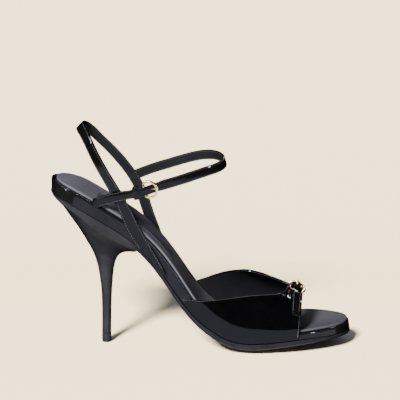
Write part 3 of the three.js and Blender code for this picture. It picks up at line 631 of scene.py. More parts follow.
# %% [markdown]
# The outsole starts at the breast of the heel and stands out past the platform by a narrow ledge.
# Its lower edge is rounded off, and under the ball it is worn flat on the floor.

# %% Outsole
breast_at = -67.5


def outsole_grow(x):
    return welt(x) + outsole_ledge * last["ledge"](held(x))


def from_breast(u):
    finish = toe_tip + outsole_grow(toe_tip) - 0.0004
    return mix(breast_at, finish, math.sin(math.pi / 2 * u))


outsole_skin = layer("outsole_skin", 320, from_breast, section(14, 0.35, 0.3, 1.7, 1.5, 5, 12),
                     outsole_grow, outsole_top, outsole_base, floor_at=0)
finish_piece(outsole_skin, "sole_rubber", sole_rubber, "outsole")

# %% [markdown]
# ## The blank panel on the foot bed
# Makers glue a small panel to the foot bed, under the arch of the foot. It is a thin patch with soft
# corners and lies a fraction of a millimetre proud. It is left blank.

# %% Panel
panel_back, panel_front = -106, -51
panel_outer, panel_inner = -14, 4
panel_lift = 0.35


def panel_place(u, v):
    fall_u = clamp(min(u, 1 - u) / 0.014)
    fall_v = clamp(min(v, 1 - v) / 0.04)
    lift = panel_lift * math.sqrt(clamp(fall_u * fall_v)) - 0.08
    return under_bed(mix(panel_back, panel_front, u), mix(panel_outer, panel_inner, v), -lift)


panel = form("blank_panel", 100, 40, panel_place)
only(panel)
bpy.ops.object.shade_smooth_by_angle(angle=math.radians(50))
solidify = panel.modifiers.new("thickness", "SOLIDIFY")
solidify.thickness = 0.0004
solidify.offset = -1
bpy.ops.object.modifier_apply(modifier="thickness")
finish_piece(panel, "sock_leather", label_leather)

# %% [markdown]
# ## The heel
# A covered heel is one block, wide under the seat and thin as a pencil at the floor. Its rows say
# where its back and front lie at each height and how wide it is there. Each upright line of the
# grid starts exactly on the seam under the platform, so the seam stays a clean line.

# %% Heel rows
lift_height = 6.6
stem_half = 4.1
lift_half = 4.3
seat_under = under_bed(seat_back, 0, platform_base(seat_back)).z - clearance
heel_front = under_bed(breast_at, 0, platform_base(breast_at)).x
heel_length = heel_front - (seat_back - seat_welt)
foot_drop = 1 - (lift_height + clearance) / seat_under

heel_columns = ("row", "back_drop", "back", "front_drop", "front", "half", "seat")
heel_rows = [
    (0, -0.03, -0.01, 0.26, 1, 6.8, 1),
    (1, 0, 0, 0.32, 1, 6.8, 1),
    (2, 0.025, 0.05, 0.355, 0.975, 6.35, 0.8),
    (3, 0.07, 0.11, 0.366, 0.9, 5.6, 0.5),
    (4, 0.135, 0.185, 0.385, 0.81, 4.75, 0.25),
    (5, 0.215, 0.28, 0.42, 0.752, 3.75, 0.1),
    (6, 0.305, 0.373, 0.473, 0.715, 2.85, 0),
    (7, 0.395, 0.46, 0.527, 0.695, 2.15, 0),
    (8, 0.495, 0.516, 0.587, 0.685, 1.6, 0),
    (9, 0.61, 0.547, 0.66, 0.676, 1.25, 0),
    (10, 0.73, 0.561, 0.75, 0.669, 1.06, 0),
    (11, foot_drop, 0.5605, foot_drop, 0.6625, 1, 0),
]
heel = columns(heel_columns, heel_rows)


def stem_outline(share, half):
    widest = 0.55
    if share < widest:
        return half * math.sqrt(1 - (1 - share / widest) ** 2)
    return half * (1 - 0.6 * ((share - widest) / (1 - widest)) ** 2.5)


def round_ring(v, face=0.08):
    across = clamp((v - 0.5) / (face / 2), -1, 1)
    if abs(across) < 1:
        return 1, across
    turn = (0.5 - abs(v - 0.5)) / (0.5 - face / 2)
    return (1 - math.cos(math.pi * clamp(turn))) / 2, across


def heel_point(row, v):
    share, across = round_ring(v)
    part = {name: heel[name](row) for name in heel_columns[1:]}
    x = seat_back - seat_welt + heel_length * mix(part["back"], part["front"], share)
    z = seat_under * (1 - mix(part["back_drop"], part["front_drop"], share))
    stem = stem_outline(share, stem_half * part["half"])
    seat_x = mix(seat_back - seat_welt, breast_at, share)
    seat = clamp(part["seat"])
    outer = mix(-stem, edge(seat_x, -1, welt(seat_x)), seat)
    inner = mix(stem, edge(seat_x, 1, welt(seat_x)), seat)
    return Vector((x, mix(outer, inner, (across + 1) / 2), z))


print("heel length at the seat, mm:", round(heel_length, 1))

# %% [markdown]
# The seam is the line of the platform's underside. Each upright line is followed down from the top
# row until it comes out below that line, and the grid begins there.

# %% Heel
seam_line = []
for i in range(120):
    at = mix(seat_back - seat_welt - 2, breast_at + 6, i / 119)
    point = under_bed(at, ball_width * last["middle"](held(at)), platform_base(at) + clearance)
    seam_line.append((point.x, point.z))
seam_line.sort()
seam_height = strip([item[0] for item in seam_line], [item[1] for item in seam_line])
heel_starts = {}


def heel_start(v):
    if v not in heel_starts:
        low, high = 0.0, 3.0
        for _ in range(24):
            middle = (low + high) / 2
            point = heel_point(middle, v)
            if point.z > seam_height(point.x):
                low = middle
            else:
                high = middle
        heel_starts[v] = high
    return heel_starts[v]


def heel_place(u, v):
    return heel_point(mix(heel_start(round(v, 5)), 11, u), v)


heel_cover = close(form("heel_cover", 90, 100, heel_place), sharp=32)
finish_piece(heel_cover, "patent", heel_wrap, "heel")


def lift_place(u, v):
    share, across = round_ring(v)
    worn = 1 - 0.09 * clamp((u - 0.8) / 0.2) ** 2 - 0.05 * clamp((0.12 - u) / 0.12)
    back, front = [seat_back - seat_welt + heel_length * part for part in (0.559, 0.665)]
    middle = (back + front) / 2
    x = middle + (mix(back, front, share) - middle) * worn
    side = stem_outline(share, lift_half) * worn
    return Vector((x, side * across, lift_height * (1 - u)))


top_lift = close(form("top_lift", 16, 72, lift_place), sharp=40)
finish_piece(top_lift, "lift_rubber", lift_rubber, "heel_tip")

# %% [markdown]
# ## The vamp
# The vamp is the leather over the forefoot. It is one sheet pulled over the last: up the sides of
# the platform from the outsole seam, over the ridge of the foot, open at the toes, with a throat
# cut down from behind. `top` is the ridge, `outer` and `inner` are the toplines of the two sides.

# %% The vamp's table
instep_rise = 43.5
instep_lean = 3
vamp_wall = 1.5
front_bow = 2.1
vamp_columns = ("along", "top", "outer", "inner")
vamp_rows = [
    (0.36, 2.2, 0.668, 0.64),
    (0.466, 1.47, 0.668, 0.678),
    (0.541, 1.26, 0.684, 0.815),
    (0.611, 1.09, 0.714, 0.91),
    (0.658, 1, 0.729, 0.943),
    (0.728, 0.887, 0.726, 0.855),
    (0.766, 0.807, 0.716, 0.765),
    (0.794, 0.748, 0.733, 0.735),
    (0.817, 0.703, 0.775, 0.775),
    (0.846, 0.655, 0.8, 0.8),
]
vamp = columns(vamp_columns, vamp_rows)
vamp_front = x_of(0.839)


def vamp_height(share):
    return ball_stack + instep_rise * share


def vamp_point(x, turn, out):
    grow = welt(x) + clearance + out
    outer, inner = edge(x, -1, grow), edge(x, 1, grow)
    foot = bed(x) + crown(x)
    rise = vamp_height(vamp["top"](along_of(x))) - vamp_wall + out - foot
    angle = math.pi * turn
    y = (outer + inner) / 2 + (inner - outer) / 2 * math.cos(angle)
    return Vector((x, y + instep_lean * math.sin(angle) ** 2, foot + rise * math.sin(angle)))


print("ridge at the front of the vamp, mm:", round(vamp_point(vamp_front, 0.5, vamp_wall).z, 1))

# %% [markdown]
# One line of the sheet starts on the seam, climbs the side of the platform and goes over the arch.
# It ends where it meets the topline. So the grid's own edge is the topline, and no cut is needed.
# Real patent leather never sits quite flat there: `pull` adds the soft ridges that run up from the
# seam where the sheet was drawn tight, and a shallow trough where the foot bends.

# %% Lines of the sheet
def pull(x, height):
    drawn = math.exp(-((x + 22) / 22) ** 2) * math.exp(-(height / 0.33) ** 2)
    trough = math.exp(-((x + 4) / 6) ** 2) * math.exp(-((height - 0.75) / 0.2) ** 2)
    return 0.16 * drawn * math.sin(x * 0.55) - 0.25 * trough


def smooth(value):
    value = clamp(value)
    return value * value * (3 - 2 * value)


leg_part = 0.3


def sheet_line(station, side, w):
    forward = smooth((station - x_of(0.66)) / (vamp_front - x_of(0.66)))
    if w >= leg_part:
        turn = (w - leg_part) / (1 - leg_part) * 0.5
        turn = turn if side > 0 else 1 - turn
        x = station + front_bow * forward * math.sin(math.pi * turn)
        return vamp_point(x, turn, vamp_wall + pull(x, w))
    grow = welt(station) + clearance + vamp_wall + pull(station, w)
    foot = vamp_point(station, 0 if side > 0 else 1, vamp_wall + pull(station, w))
    lean = under_bed(station, 0, platform_base(station)).x - station
    base_at = station - lean * forward
    seam = under_bed(base_at, edge(base_at, side, grow), platform_base(base_at) - 0.1)
    return seam.lerp(foot, w / leg_part)


def topline(x, side):
    name = "outer" if side < 0 else "inner"
    return vamp_height(vamp[name](max(along_of(x), vamp_rows[0][0])))


def cut_at(station, side):
    if sheet_line(station, side, 1).z <= topline(station, side):
        return 1.0
    low, high = 0.0, 1.0
    for _ in range(24):
        middle = (low + high) / 2
        point = sheet_line(station, side, middle)
        if point.z < topline(point.x, side):
            low = middle
        else:
            high = middle
    return low


def first_station(test, low, high):
    for _ in range(30):
        middle = (low + high) / 2
        if test(middle):
            high = middle
        else:
            low = middle
    return high


throat_tip = first_station(lambda at: cut_at(at, -1) == 1 and cut_at(at, 1) == 1, x_of(0.7), vamp_front)
tails = {side: first_station(lambda at: cut_at(at, side) > 0.001, x_of(0.3), x_of(0.6)) for side in (-1, 1)}
print("throat tip at", round(throat_tip, 1), "tails at", {side: round(at, 1) for side, at in tails.items()})

# %% [markdown]
# The two sides are formed as two grids that share the ridge in front of the throat. They are joined
# and merged there. The bend where the side turns over the platform's edge is relaxed a little, as
# leather does. Then the sheet gets its wall, with the dark lining on its inner face, and its folded
# edges are rounded, which is what draws the thin bright line along the topline.

# %% Vamp
def vamp_side(side):
    stations, cuts = {}, {}

    def place(u, v):
        key = round(u, 5)
        if key not in stations:
            back = 0.62
            if u < back:
                near = u / back
                stations[key] = mix(tails[side], throat_tip, 1 - (1 - near) ** 2)
            else:
                stations[key] = mix(throat_tip, vamp_front, ((u - back) / (1 - back)) ** 1.4)
            cuts[key] = cut_at(stations[key], side) if u < back else 1.0
        return sheet_line(stations[key], side, cuts[key] * v)
    return form("vamp_side", 150, 64, place)


def soften_band(piece, test, rounds):
    only(piece)
    bpy.ops.object.mode_set(mode="EDIT")
    bpy.ops.mesh.select_mode(type="VERT")
    bpy.ops.object.mode_set(mode="OBJECT")
    for vertex in piece.data.vertices:
        vertex.select = test(vertex.co / MM)
    bpy.ops.object.mode_set(mode="EDIT")
    bpy.ops.mesh.vertices_smooth(factor=0.5, repeat=rounds)
    bpy.ops.object.mode_set(mode="OBJECT")


def near_bend(point):
    foot = bed(point.x) + crown(point.x)
    low_enough = point.z < foot + 9
    seam_clear = point.z > foot - platform_base(point.x) * 0.75
    side = -1 if point.y < 0 else 1
    return low_enough and seam_clear and point.z < topline(point.x, side) - 1.2 and point.x < vamp_front - 1.5


vamp_skin = join([vamp_side(-1), vamp_side(1)], "vamp_skin")
only(vamp_skin)
bpy.ops.object.mode_set(mode="EDIT")
bpy.ops.mesh.select_all(action="SELECT")
bpy.ops.mesh.remove_doubles(threshold=0.000004)
bpy.ops.mesh.dissolve_degenerate(threshold=0.000002)
bpy.ops.mesh.select_all(action="SELECT")
bpy.ops.mesh.normals_make_consistent(inside=False)
bpy.ops.object.mode_set(mode="OBJECT")
soften_band(vamp_skin, near_bend, 14)
ridge = max(vamp_skin.data.polygons, key=lambda face: face.center.z + face.center.x)
if ridge.normal.z < 0:
    vamp_skin.data.flip_normals()
only(vamp_skin)
wall = vamp_skin.modifiers.new("wall", "SOLIDIFY")
wall.thickness = vamp_wall * MM
wall.offset = -1
wall.material_offset = 1
soft_edge = vamp_skin.modifiers.new("folded edge", "BEVEL")
soft_edge.width = 0.5 * MM
soft_edge.segments = 3
soft_edge.limit_method = "ANGLE"
soft_edge.angle_limit = math.radians(55)
vamp_skin.data.materials.append(patent_upper)
vamp_skin.data.materials.append(lining_leather)
for name in ("wall", "folded edge"):
    bpy.ops.object.modifier_apply(modifier=name)
bpy.ops.object.shade_smooth_by_angle(angle=math.radians(38))
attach(vamp_skin, "root")
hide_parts("vamp")
print("vamp faces:", len(vamp_skin.data.polygons))

# %% [markdown]
# ## Straps
# A strap follows a route: points for its middle line and, at each, the direction its face looks.
# The sheet is rolled round a flat section with soft corners and a slightly domed face. A real strap
# is two layers glued over a tape, and its edges are folded or inked round.

# %% Routes
def make_route(points, outwards, widths):
    places = [0.0]
    for before, after in zip(points, points[1:]):
        places.append(places[-1] + (after - before).length)
    spot = [strip(places, [point[k] for point in points]) for k in range(3)]
    out = [strip(places, [vector[k] for vector in outwards]) for k in range(3)]
    wide = strip(places, widths)

    def frame_at(s):
        tangent = Vector([part(s + 0.2) - part(s - 0.2) for part in spot]).normalized()
        normal = Vector([part(s) for part in out])
        normal = (normal - tangent * normal.dot(tangent)).normalized()
        return Vector([part(s) for part in spot]), tangent, normal, tangent.cross(normal), wide(s)
    return places, frame_at


def facing(turn, lean):
    turn, lean = math.radians(turn), math.radians(lean)
    return Vector((math.cos(turn) * math.cos(lean), math.sin(turn) * math.cos(lean), math.sin(lean)))


def strap_section(half, wall, dome=0.14, corner=0.42):
    corner = min(corner, wall * 0.45)
    flat = half - corner
    face = [mix(-flat, flat, i / 8) for i in range(9)]
    outside = [(a, wall / 2 + dome * (1 - (a / max(half, 0.01)) ** 2)) for a in face]
    arcs = []
    for sign, top in ((1, True), (1, False)):
        for i in range(1, 4):
            angle = math.pi / 2 * i / 4
            turn = angle if top else angle + math.pi / 2
            arcs.append((flat + corner * math.sin(turn), (wall / 2 - corner) * (1 if top else -1)
                         + corner * math.cos(turn)))
    inside = [(a, -wall / 2) for a in reversed(face)]
    left = [(-a, b) for a, b in reversed(arcs)]
    return outside + arcs + inside + left + [outside[0]]


strap_dome = 0.14
lining_from, lining_to = 15, 23


def strap(name, frame_at, steps, span, wall, half_at, lift=0.0, ends=None, dome=strap_dome):
    stops = len(strap_section(3, wall)) - 1
    start, finish = span

    def spot(s, a, b):
        point, _, normal, across, _ = frame_at(s)
        return point + across * a + normal * (b + lift)

    def place(u, v):
        s = mix(start, finish, u)
        half = half_at(s, frame_at(s)[4])
        a, b = strap_section(half, wall, dome)[round(v * stops)]
        if ends is not None:
            low, high = [ends(start, spot, a, 1), ends(finish, spot, a, -1)]
            s = mix(low, high, u)
        return spot(s, a, b)
    piece = form(name, steps, stops, place, inside=(lining_from / stops, lining_to / stops))
    dress(piece, patent_strap, lining_leather)
    return close(piece, sharp=50)


print("stops in a strap's section:", len(strap_section(3, 2)))

# %% [markdown]
# The back strap starts on the outsole seam on the outer side, rises beside the arch, slings round
# behind the ankle and comes down on the inner side to the seam again. Both ends are trimmed along
# the seam, so each line across the strap is as long as it has to be.

# %% Back strap
strap_wall = 2
strap_width = 7.2
ankle_half = 28
ankle_rise = 45
back_rows = [
    (0.352, -1.05, -0.395, 1.25, -88, 0), (0.326, -1.05, -0.287, 1.2, -90, 0),
    (0.298, -1.045, -0.173, 1.2, -91, 2), (0.272, -1.03, -0.057, 1.28, -93, 5),
    (0.243, -1, 0.148, 1.15, -97, 6), (0.212, -0.964, 0.346, 1, -101, 6),
    (0.187, -0.929, 0.46, 1, -105, 8), (0.159, -0.868, 0.6, 0.99, -111, 11),
    (0.131, -0.743, 0.755, 0.99, -123, 18), (0.104, -0.5, 0.902, 1.03, -142, 30),
    (0.085, -0.179, 0.968, 1.06, -168, 42), (0.087, 0.179, 0.964, 1.06, -192, 42),
    (0.108, 0.464, 0.93, 1.02, -218, 30), (0.139, 0.661, 0.845, 0.97, -237, 18),
    (0.173, 0.804, 0.759, 0.97, -249, 11), (0.206, 0.893, 0.671, 1, -256, 8),
    (0.235, 0.929, 0.579, 1, -261, 6), (0.263, 0.939, 0.467, 1.05, -265, 5),
    (0.287, 0.935, 0.297, 1.12, -268, 4), (0.302, 0.93, 0.13, 1.12, -270, 3),
    (0.317, 0.93, -0.01, 1.1, -271, 2), (0.335, 0.925, -0.155, 1.1, -271, 0),
    (0.351, 0.92, -0.3, 1.1, -272, 0),
]


def ankle_spot(row, foot):
    return Vector((x_of(row[0]), row[1] * ankle_half, foot + row[2] * ankle_rise))


back_places, back_frame = make_route(
    [ankle_spot(row, bed(x_of(row[0]))) for row in back_rows],
    [facing(row[4], row[5]) for row in back_rows],
    [row[3] * strap_width for row in back_rows],
)
sole_seam = []
for i in range(80):
    at = mix(breast_at - 20, x_of(0.5), i / 79)
    point = under_bed(at, edge(at, -1, welt(at)), platform_base(at) - 0.1)
    sole_seam.append((point.x, point.z))
sole_seam_height = strip([item[0] for item in sole_seam], [item[1] for item in sole_seam])


def trim_on_seam(end, spot, a, way):
    low, high = end - 6 * way, end + 26 * way
    for _ in range(16):
        middle = (low + high) / 2
        point = spot(middle, a, 0)
        if point.z < sole_seam_height(point.x):
            low = middle
        else:
            high = middle
    return high


sling = strap("sling", back_frame, 300, (0, back_places[-1]), strap_wall,
              lambda s, width: width / 2, ends=trim_on_seam)
print("length of the back strap, mm:", round(back_places[-1]))

# %% [markdown]
# The ankle strap is sewn to the back strap on the inner side, goes round the front of the ankle
# and through the buckle, and ends in a rounded tip.

# %% Ankle strap
ankle_width = 6.4
ankle_wall = 1.6
ankle_rows = [
    (0.242, 0.936, 0.451, 95, 4), (0.279, 0.939, 0.524, 92, 4), (0.326, 0.921, 0.611, 86, 5),
    (0.389, 0.843, 0.713, 76, 6), (0.459, 0.696, 0.828, 62, 8), (0.516, 0.493, 0.893, 42, 10),
    (0.559, 0.232, 0.893, 18, 11), (0.577, -0.054, 0.852, -6, 12), (0.561, -0.339, 0.797, -33, 10),
    (0.522, -0.571, 0.75, -55, 8), (0.462, -0.786, 0.676, -67, 6), (0.405, -0.946, 0.606, -74, 5),
    (0.354, -1.046, 0.54, -79, 4), (0.326, -1.087, 0.496, -80, 4), (0.3, -1.12, 0.46, -84, 4),
    (0.26, -1.125, 0.42, -92, 5), (0.199, -1.093, 0.353, -96, 5), (0.136, -1.021, 0.251, -100, 5),
]
junction_height = bed(x_of(0.243))
ankle_places, ankle_frame = make_route(
    [ankle_spot(row, junction_height) for row in ankle_rows],
    [facing(row[3], row[4]) for row in ankle_rows],
    [ankle_width for row in ankle_rows],
)
ankle_full_width = 7.3
full_width_after = 6
buckle_zone = (ankle_places[14] - 11, ankle_places[14] + 9)


def round_tip(end, radius, least=0.12, width_at=None):
    def half_at(s, width):
        left = clamp((end - s) / radius)
        width = width if width_at is None else width_at(s)
        return width / 2 * max(math.sqrt(1 - (1 - left) ** 2), least)
    return half_at


def ankle_width_at(s):
    clear_of_buckle = max(buckle_zone[0] - s, s - buckle_zone[1])
    return mix(ankle_width, ankle_full_width, smooth(clear_of_buckle / full_width_after))


ankle_end = ankle_places[-1]
ankle_strap = strap("ankle_strap", ankle_frame, 420, (-0.8, ankle_end), ankle_wall,
                    round_tip(ankle_end, 1.1, 0.55, ankle_width_at))
print("length of the ankle strap, mm:", round(ankle_end))

# %% [markdown]
# ## Buckles
# Each buckle is a wire ring with a straight bar and a prong. The bar lies under the strap and the
# far side of the ring over it, so the ring leans. Its place is worked out from the strap: the bar is
# set below it, and the ring is turned until its far side just clears the strap's face.

# %% Where a buckle sits
ring_radius = 5.9
wire_radius = 0.9
bar_radius = 0.75
prong_radius = 0.6
bar_set = 4.2
half_bar = math.sqrt(ring_radius ** 2 - bar_set ** 2)


def place_buckle(frame_at, bar_at, wall, bar_depth):
    point, _, normal, across, _ = frame_at(bar_at)
    bar = point - normal * bar_depth
    rise = wall / 2 + 2 * clearance + wire_radius
    near, far = 4.0, 16.0

    def over(back):
        spot, _, face, _, _ = frame_at(bar_at - back)
        return spot + face * rise
    for _ in range(30):
        middle = (near + far) / 2
        if (over(middle) - bar).length < bar_set + ring_radius:
            near = middle
        else:
            far = middle
    towards = (over(near) - bar).normalized()
    flat = (across - towards * across.dot(towards)).normalized()
    up = flat.cross(towards).normalized()
    if up.dot(normal) < 0:
        up, flat = -up, -flat
    turn = Matrix((towards, up.cross(towards), up)).transposed().to_4x4()
    return {"frame": frame_at, "bar_at": bar_at, "bar": bar, "towards": towards, "flat": flat,
            "turn": Matrix.Translation((bar + towards * bar_set) * MM) @ turn, "back": near}


chape_wall = 2 * (0.7 + clearance + bar_radius)
ankle_bar_at = ankle_places[14] - 2.5
ankle_bar_depth = ankle_wall / 2 + clearance + chape_wall / 2
ankle_buckle = place_buckle(ankle_frame, ankle_bar_at, ankle_wall, ankle_bar_depth)
print("ankle buckle bar at", [round(part, 1) for part in ankle_buckle["bar"]])

# %% [markdown]
# The ring is a torus, cut straight where the bar goes, and the bar is a thin cylinder with soft
# ends. They are modelled flat at the origin and then carried to their place, with the move applied
# to the mesh.

# %% Rings
def make_ring(name, place):
    deselect()
    bpy.ops.mesh.primitive_torus_add(
        major_radius=ring_radius * MM, minor_radius=wire_radius * MM, major_segments=96, minor_segments=24)
    ring = bpy.context.object
    bpy.ops.object.mode_set(mode="EDIT")
    bpy.ops.mesh.select_all(action="SELECT")
    bpy.ops.mesh.bisect(plane_co=(-bar_set * MM, 0, 0), plane_no=(1, 0, 0), use_fill=True, clear_inner=True)
    bpy.ops.object.mode_set(mode="OBJECT")
    deselect()
    bpy.ops.mesh.primitive_cylinder_add(
        vertices=28, radius=bar_radius * MM, depth=2 * (half_bar + wire_radius * 0.55) * MM,
        location=(-bar_set * MM, 0, 0), rotation=(math.pi / 2, 0, 0))
    bar = bpy.context.object
    bpy.ops.object.transform_apply(location=True, rotation=True, scale=True)
    soft = bar.modifiers.new("soft ends", "BEVEL")
    soft.width = 0.25 * MM
    soft.segments = 3
    bpy.ops.object.modifier_apply(modifier="soft ends")
    piece = join([ring, bar], name)
    piece.data.transform(place["turn"])
    only(piece)
    bpy.ops.object.shade_smooth_by_angle(angle=math.radians(40))
    return piece


def prong_route(place, wall):
    rise = wall / 2 + clearance + prong_radius

    def over(back, out):
        spot, _, face, _, _ = place["frame"](place["bar_at"] - back)
        return spot + face * out
    top = wall / 2 + 3.5 * clearance + 2 * wire_radius + prong_radius
    start = place["bar"] + place["towards"] * (bar_radius + clearance + prong_radius)
    return [start, over(place["back"] * 0.52, 0), over(place["back"] * 0.72, rise * 1.25),
            over(place["back"] * 0.96, top), over(place["back"] + wire_radius * 1.3, top)]


def make_prong(name, place, wall):
    points = prong_route(place, wall)
    places, frame_at = make_route(points, [place["flat"]] * len(points), [1] * len(points))

    def spot(u, v):
        s = mix(0, places[-1], u)
        point, tangent, normal, across, _ = frame_at(s)
        taper = prong_radius * (1 - 0.35 * smooth((u - 0.55) / 0.45))
        nose = math.sqrt(clamp(1 - clamp((u - 0.96) / 0.04) ** 2)) * math.sqrt(clamp(u / 0.03))
        turn = 2 * math.pi * v
        return point + (normal * math.cos(turn) + across * math.sin(turn)) * taper * max(nose, 0.02)
    return close(form(name, 60, 16, spot), sharp=60)


ankle_ring = make_ring("ankle_ring", ankle_buckle)
finish_piece(ankle_ring, "gilt", gilt, "ankle_buckle")
ankle_pin = make_prong("ankle_pin", ankle_buckle, ankle_wall)
finish_piece(ankle_pin, "gilt", gilt, "ankle_prong")

# %% [markdown]
# ## Chape and keeper
# The chape is the short piece that holds the buckle: a folded strip under the ankle strap, sewn
# to the back strap. The keeper is a leather loop round both, which holds the free end down.

# %% Chape
chape_root = ankle_places[15] + 9
chape_end = ankle_bar_at - chape_wall / 2
chape_drop = -(ankle_wall / 2 + clearance + chape_wall / 2)


def round_fold(s):
    left = clamp((s - chape_end) / (chape_wall / 2))
    return max(math.sqrt(1 - (1 - left) ** 2), 0.15)


def chape_place(u, v):
    s = mix(chape_end, chape_root, u ** 1.5)
    point, _, normal, across, _ = ankle_frame(s)
    section_here = strap_section(half_bar - 1.35, chape_wall * round_fold(s), 0.05)
    a, b = section_here[round(v * (len(section_here) - 1))]
    return point + across * a + normal * (b + chape_drop)


chape = form("chape", 90, len(strap_section(3, 2)) - 1, chape_place)
dress(chape, patent_strap)
close(chape, sharp=50)
back_upper = join([sling, ankle_strap, chape], "back_upper")
finish_piece(back_upper, "patent", patent_strap, "back_strap")

# %% Keeper
keeper_length = 4.6
keeper_wall = 1.3
keeper_at = ankle_bar_at + 6.4
keeper_half = ankle_width / 2 + clearance + keeper_wall / 2
keeper_high = ankle_wall / 2 + clearance + keeper_wall / 2
keeper_low = -(ankle_wall / 2 + 2 * clearance + chape_wall) - keeper_wall / 2


def loop_point(turn, grow):
    angle = 2 * math.pi * turn
    power = 0.42
    half, middle = keeper_half + grow, (keeper_high + keeper_low) / 2
    rise = (keeper_high - keeper_low) / 2 + grow
    across = half * math.copysign(abs(math.cos(angle)) ** power, math.cos(angle))
    out = middle + rise * math.copysign(abs(math.sin(angle)) ** power, math.sin(angle))
    return across, out


def keeper_place(u, v):
    angle = 2 * math.pi * v
    along = keeper_length / 2 * math.copysign(abs(math.cos(angle)) ** 0.4, math.cos(angle))
    grow = keeper_wall / 2 * math.copysign(abs(math.sin(angle)) ** 0.7, math.sin(angle))
    across_by, out_by = loop_point(u, grow)
    point, tangent, normal, across, _ = ankle_frame(keeper_at)
    return point + tangent * along + across * across_by + normal * out_by


keeper = close(form("keeper_loop", 128, 28, keeper_place), cap=False, sharp=60)
finish_piece(keeper, "patent", patent_strap, "ankle_keeper")

# %% [markdown]
# ## The belt over the vamp
# A narrow belt lies over the front of the vamp. It rests on the leather, lifts over its own
# buckle's bar near the ridge, and ends in a rounded tab on the outer side.

# %% Belt
belt_wall = 1.4
belt_width = 6.3
belt_x = vamp_front - 3.3
belt_rest = clearance + belt_wall / 2
belt_over_bar = belt_rest + clearance + 2 * bar_radius + 0.4
belt_rows = [
    (0.13, 0), (0.2, 0), (0.27, 0), (0.34, 0), (0.41, 0), (0.47, 0.1),
    (0.53, 0.6), (0.59, 1), (0.65, 0.85), (0.71, 0.4), (0.77, 0.1), (0.855, 0),
]


def vamp_normal(x, turn):
    along = vamp_point(x + 1, turn, vamp_wall) - vamp_point(x - 1, turn, vamp_wall)
    around = vamp_point(x, turn + 0.01, vamp_wall) - vamp_point(x, turn - 0.01, vamp_wall)
    return around.cross(along).normalized()


belt_places, belt_frame = make_route(
    [vamp_point(belt_x, turn, vamp_wall) + vamp_normal(belt_x, turn) * mix(belt_rest, belt_over_bar, high)
     for turn, high in belt_rows],
    [vamp_normal(belt_x, turn) for turn, high in belt_rows],
    [belt_width for row in belt_rows],
)
belt_buckle = place_buckle(belt_frame, belt_places[7], belt_wall, belt_wall / 2 + clearance + bar_radius)
belt = strap("belt", belt_frame, 260, (0, belt_places[-1]), belt_wall, round_tip(belt_places[-1], 3.1))
finish_piece(belt, "patent", patent_strap, "vamp_belt")
belt_ring = make_ring("belt_ring", belt_buckle)
finish_piece(belt_ring, "gilt", gilt, "vamp_buckle")
belt_pin = make_prong("belt_pin", belt_buckle, belt_wall)
finish_piece(belt_pin, "gilt", gilt, "vamp_prong")

# %% [markdown]
# ## Stitches
# Rows of lockstitch run along both edges of the straps and along the edges of the vamp. Each stitch
# is a short thread pulled down into the leather, so only a flat dome of it shows. One stitch is
# modelled and copied along each row, and every copy takes the direction of its place.

# %% One stitch
deselect()
bpy.ops.mesh.primitive_uv_sphere_add(segments=8, ring_count=5, radius=1)
one_stitch = bpy.context.object
one_stitch.scale = (0.62 * MM, 0.17 * MM, 0.13 * MM)
bpy.ops.object.transform_apply(location=False, rotation=False, scale=True)
bpy.ops.object.shade_smooth()
one_stitch.data.materials.append(thread)
print("faces of one stitch:", len(one_stitch.data.polygons))


def sew(name, places):
    copies = []
    for spot, along, up in places:
        along = along.normalized()
        up = (up - along * up.dot(along)).normalized()
        mesh = one_stitch.data.copy()
        turn = Matrix((along, up.cross(along), up)).transposed().to_4x4()
        mesh.transform(Matrix.Translation(spot * MM) @ turn)
        copy = bpy.data.objects.new(name, mesh)
        bpy.context.collection.objects.link(copy)
        copies.append(copy)
    row = join(copies, name)
    finish_piece(row, "patent", thread)
    print(name, len(places))
    return row


# %% Stitches along the straps
stitch_pitch = 1.9
edge_inset = 0.85
vamp_inset = 1.3
front_inset = 1.2


def strap_row(frame_at, span, wall, half_at, side, face):
    places = []
    for i in range(int((span[1] - span[0]) / stitch_pitch)):
        s = span[0] + (i + 0.5) * stitch_pitch
        point, along, normal, across, _ = frame_at(s)
        half = half_at(s)
        a = side * (half - edge_inset)
        out = wall / 2 + (strap_dome * (1 - (a / half) ** 2) if face > 0 else 0)
        places.append((point + across * a + normal * face * out, along, normal * face))
    return places


def above_seam(place):
    spot = place[0]
    return spot.z > sole_seam_height(spot.x) + 1.2


back_stitches = []
ankle_stitches = []
for side in (-1, 1):
    for face in (-1, 1):
        back_stitches += strap_row(back_frame, (0, back_places[-1]), strap_wall,
                                   lambda s: back_frame(s)[4] / 2, side, face)
        ankle_stitches += strap_row(ankle_frame, (6, buckle_zone[0]), ankle_wall,
                                    lambda s: ankle_width_at(s) / 2, side, face)
    ankle_stitches += strap_row(ankle_frame, (keeper_at + 4, ankle_end - 2), ankle_wall,
                                lambda s: ankle_width_at(s) / 2, side, 1)
belt_stitches = []
for side in (-1, 1):
    belt_stitches += strap_row(belt_frame, (belt_places[8], belt_places[-1] - 2), belt_wall,
                               lambda s: belt_width / 2, side, 1)
sew("belt_stitches", belt_stitches)
sew("back_stitches", [place for place in back_stitches if above_seam(place)])
sew("ankle_stitches", ankle_stitches)

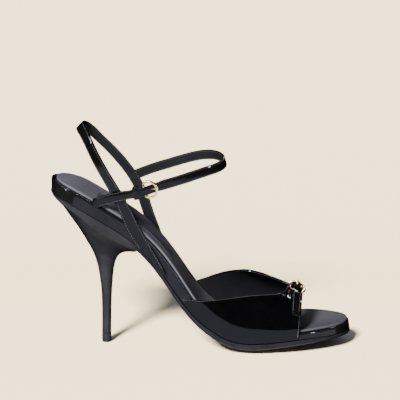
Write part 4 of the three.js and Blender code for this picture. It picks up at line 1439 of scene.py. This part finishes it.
# %% Stitches along the vamp
def topline_row(side, inside):
    places, last_spot = [], None
    tries = 700
    for i in range(tries):
        station = mix(tails[side] + front_inset, throat_tip, i / (tries - 1))
        cut = cut_at(station, side)
        spot = sheet_line(station, side, cut)
        below = sheet_line(station, side, cut * 0.96)
        ahead = sheet_line(station + 0.3, side, cut_at(station + 0.3, side))
        if last_spot is not None and (spot - last_spot).length < stitch_pitch:
            continue
        last_spot = spot
        along, down = (ahead - spot).normalized(), (below - spot).normalized()
        out = along.cross(down) * (1 if side > 0 else -1)
        if out.y * side < 0:
            out = -out
        lift = -vamp_wall if inside else 0
        places.append((spot + down * vamp_inset + out * lift, along, -out if inside else out))
    return places


def front_row(side):
    places = []
    for i in range(26):
        w = mix(0.12, 0.98, i / 25)
        spot = sheet_line(vamp_front - front_inset, side, w)
        along = (sheet_line(vamp_front - front_inset, side, w + 0.01) - spot).normalized()
        fore = sheet_line(vamp_front, side, w) - spot
        out = along.cross(fore).normalized()
        faces_up = abs(out.z) > abs(out.y)
        if (out.z < 0 if faces_up else out.y * side < 0):
            out = -out
        places.append((spot, along, out))
    return places


vamp_stitches = front_row(-1) + front_row(1)
for side in (-1, 1):
    for inside in (False, True):
        vamp_stitches += topline_row(side, inside)
sew("vamp_stitches", vamp_stitches)
only(one_stitch)
bpy.ops.object.delete()

# %% [markdown]
# ## The spare hole in the ankle strap
# One more hole lies in front of the buckle, for a looser fit. A punch leaves a round hole with a
# pressed rim, so a fine raised ring is set on the face, and a dark disc just into it is painted
# shade standing in for the hole.

# %% Spare hole
hole_at = ankle_bar_at - 12.3
deselect()
bpy.ops.mesh.primitive_torus_add(
    major_radius=0.75 * MM, minor_radius=0.16 * MM, major_segments=28, minor_segments=10)
rim = bpy.context.object
deselect()
# A dark disc stands in for the shade inside the punched hole: painted shade.
bpy.ops.mesh.primitive_cylinder_add(vertices=28, radius=0.7 * MM, depth=0.1 * MM)
hole_shade_disc = bpy.context.object
dress(rim, patent_strap)
dress(hole_shade_disc, lining_leather)
hole = join([rim, hole_shade_disc], "spare_hole")
point, along, normal, across, _ = ankle_frame(hole_at)
turn = Matrix((along, across, normal)).transposed().to_4x4()
hole.data.transform(Matrix.Translation((point + normal * (ankle_wall / 2 + 0.14)) * MM) @ turn)
only(hole)
bpy.ops.object.shade_smooth_by_angle(angle=math.radians(40))
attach(hole, "root")
print("spare hole at", [round(part, 1) for part in point])
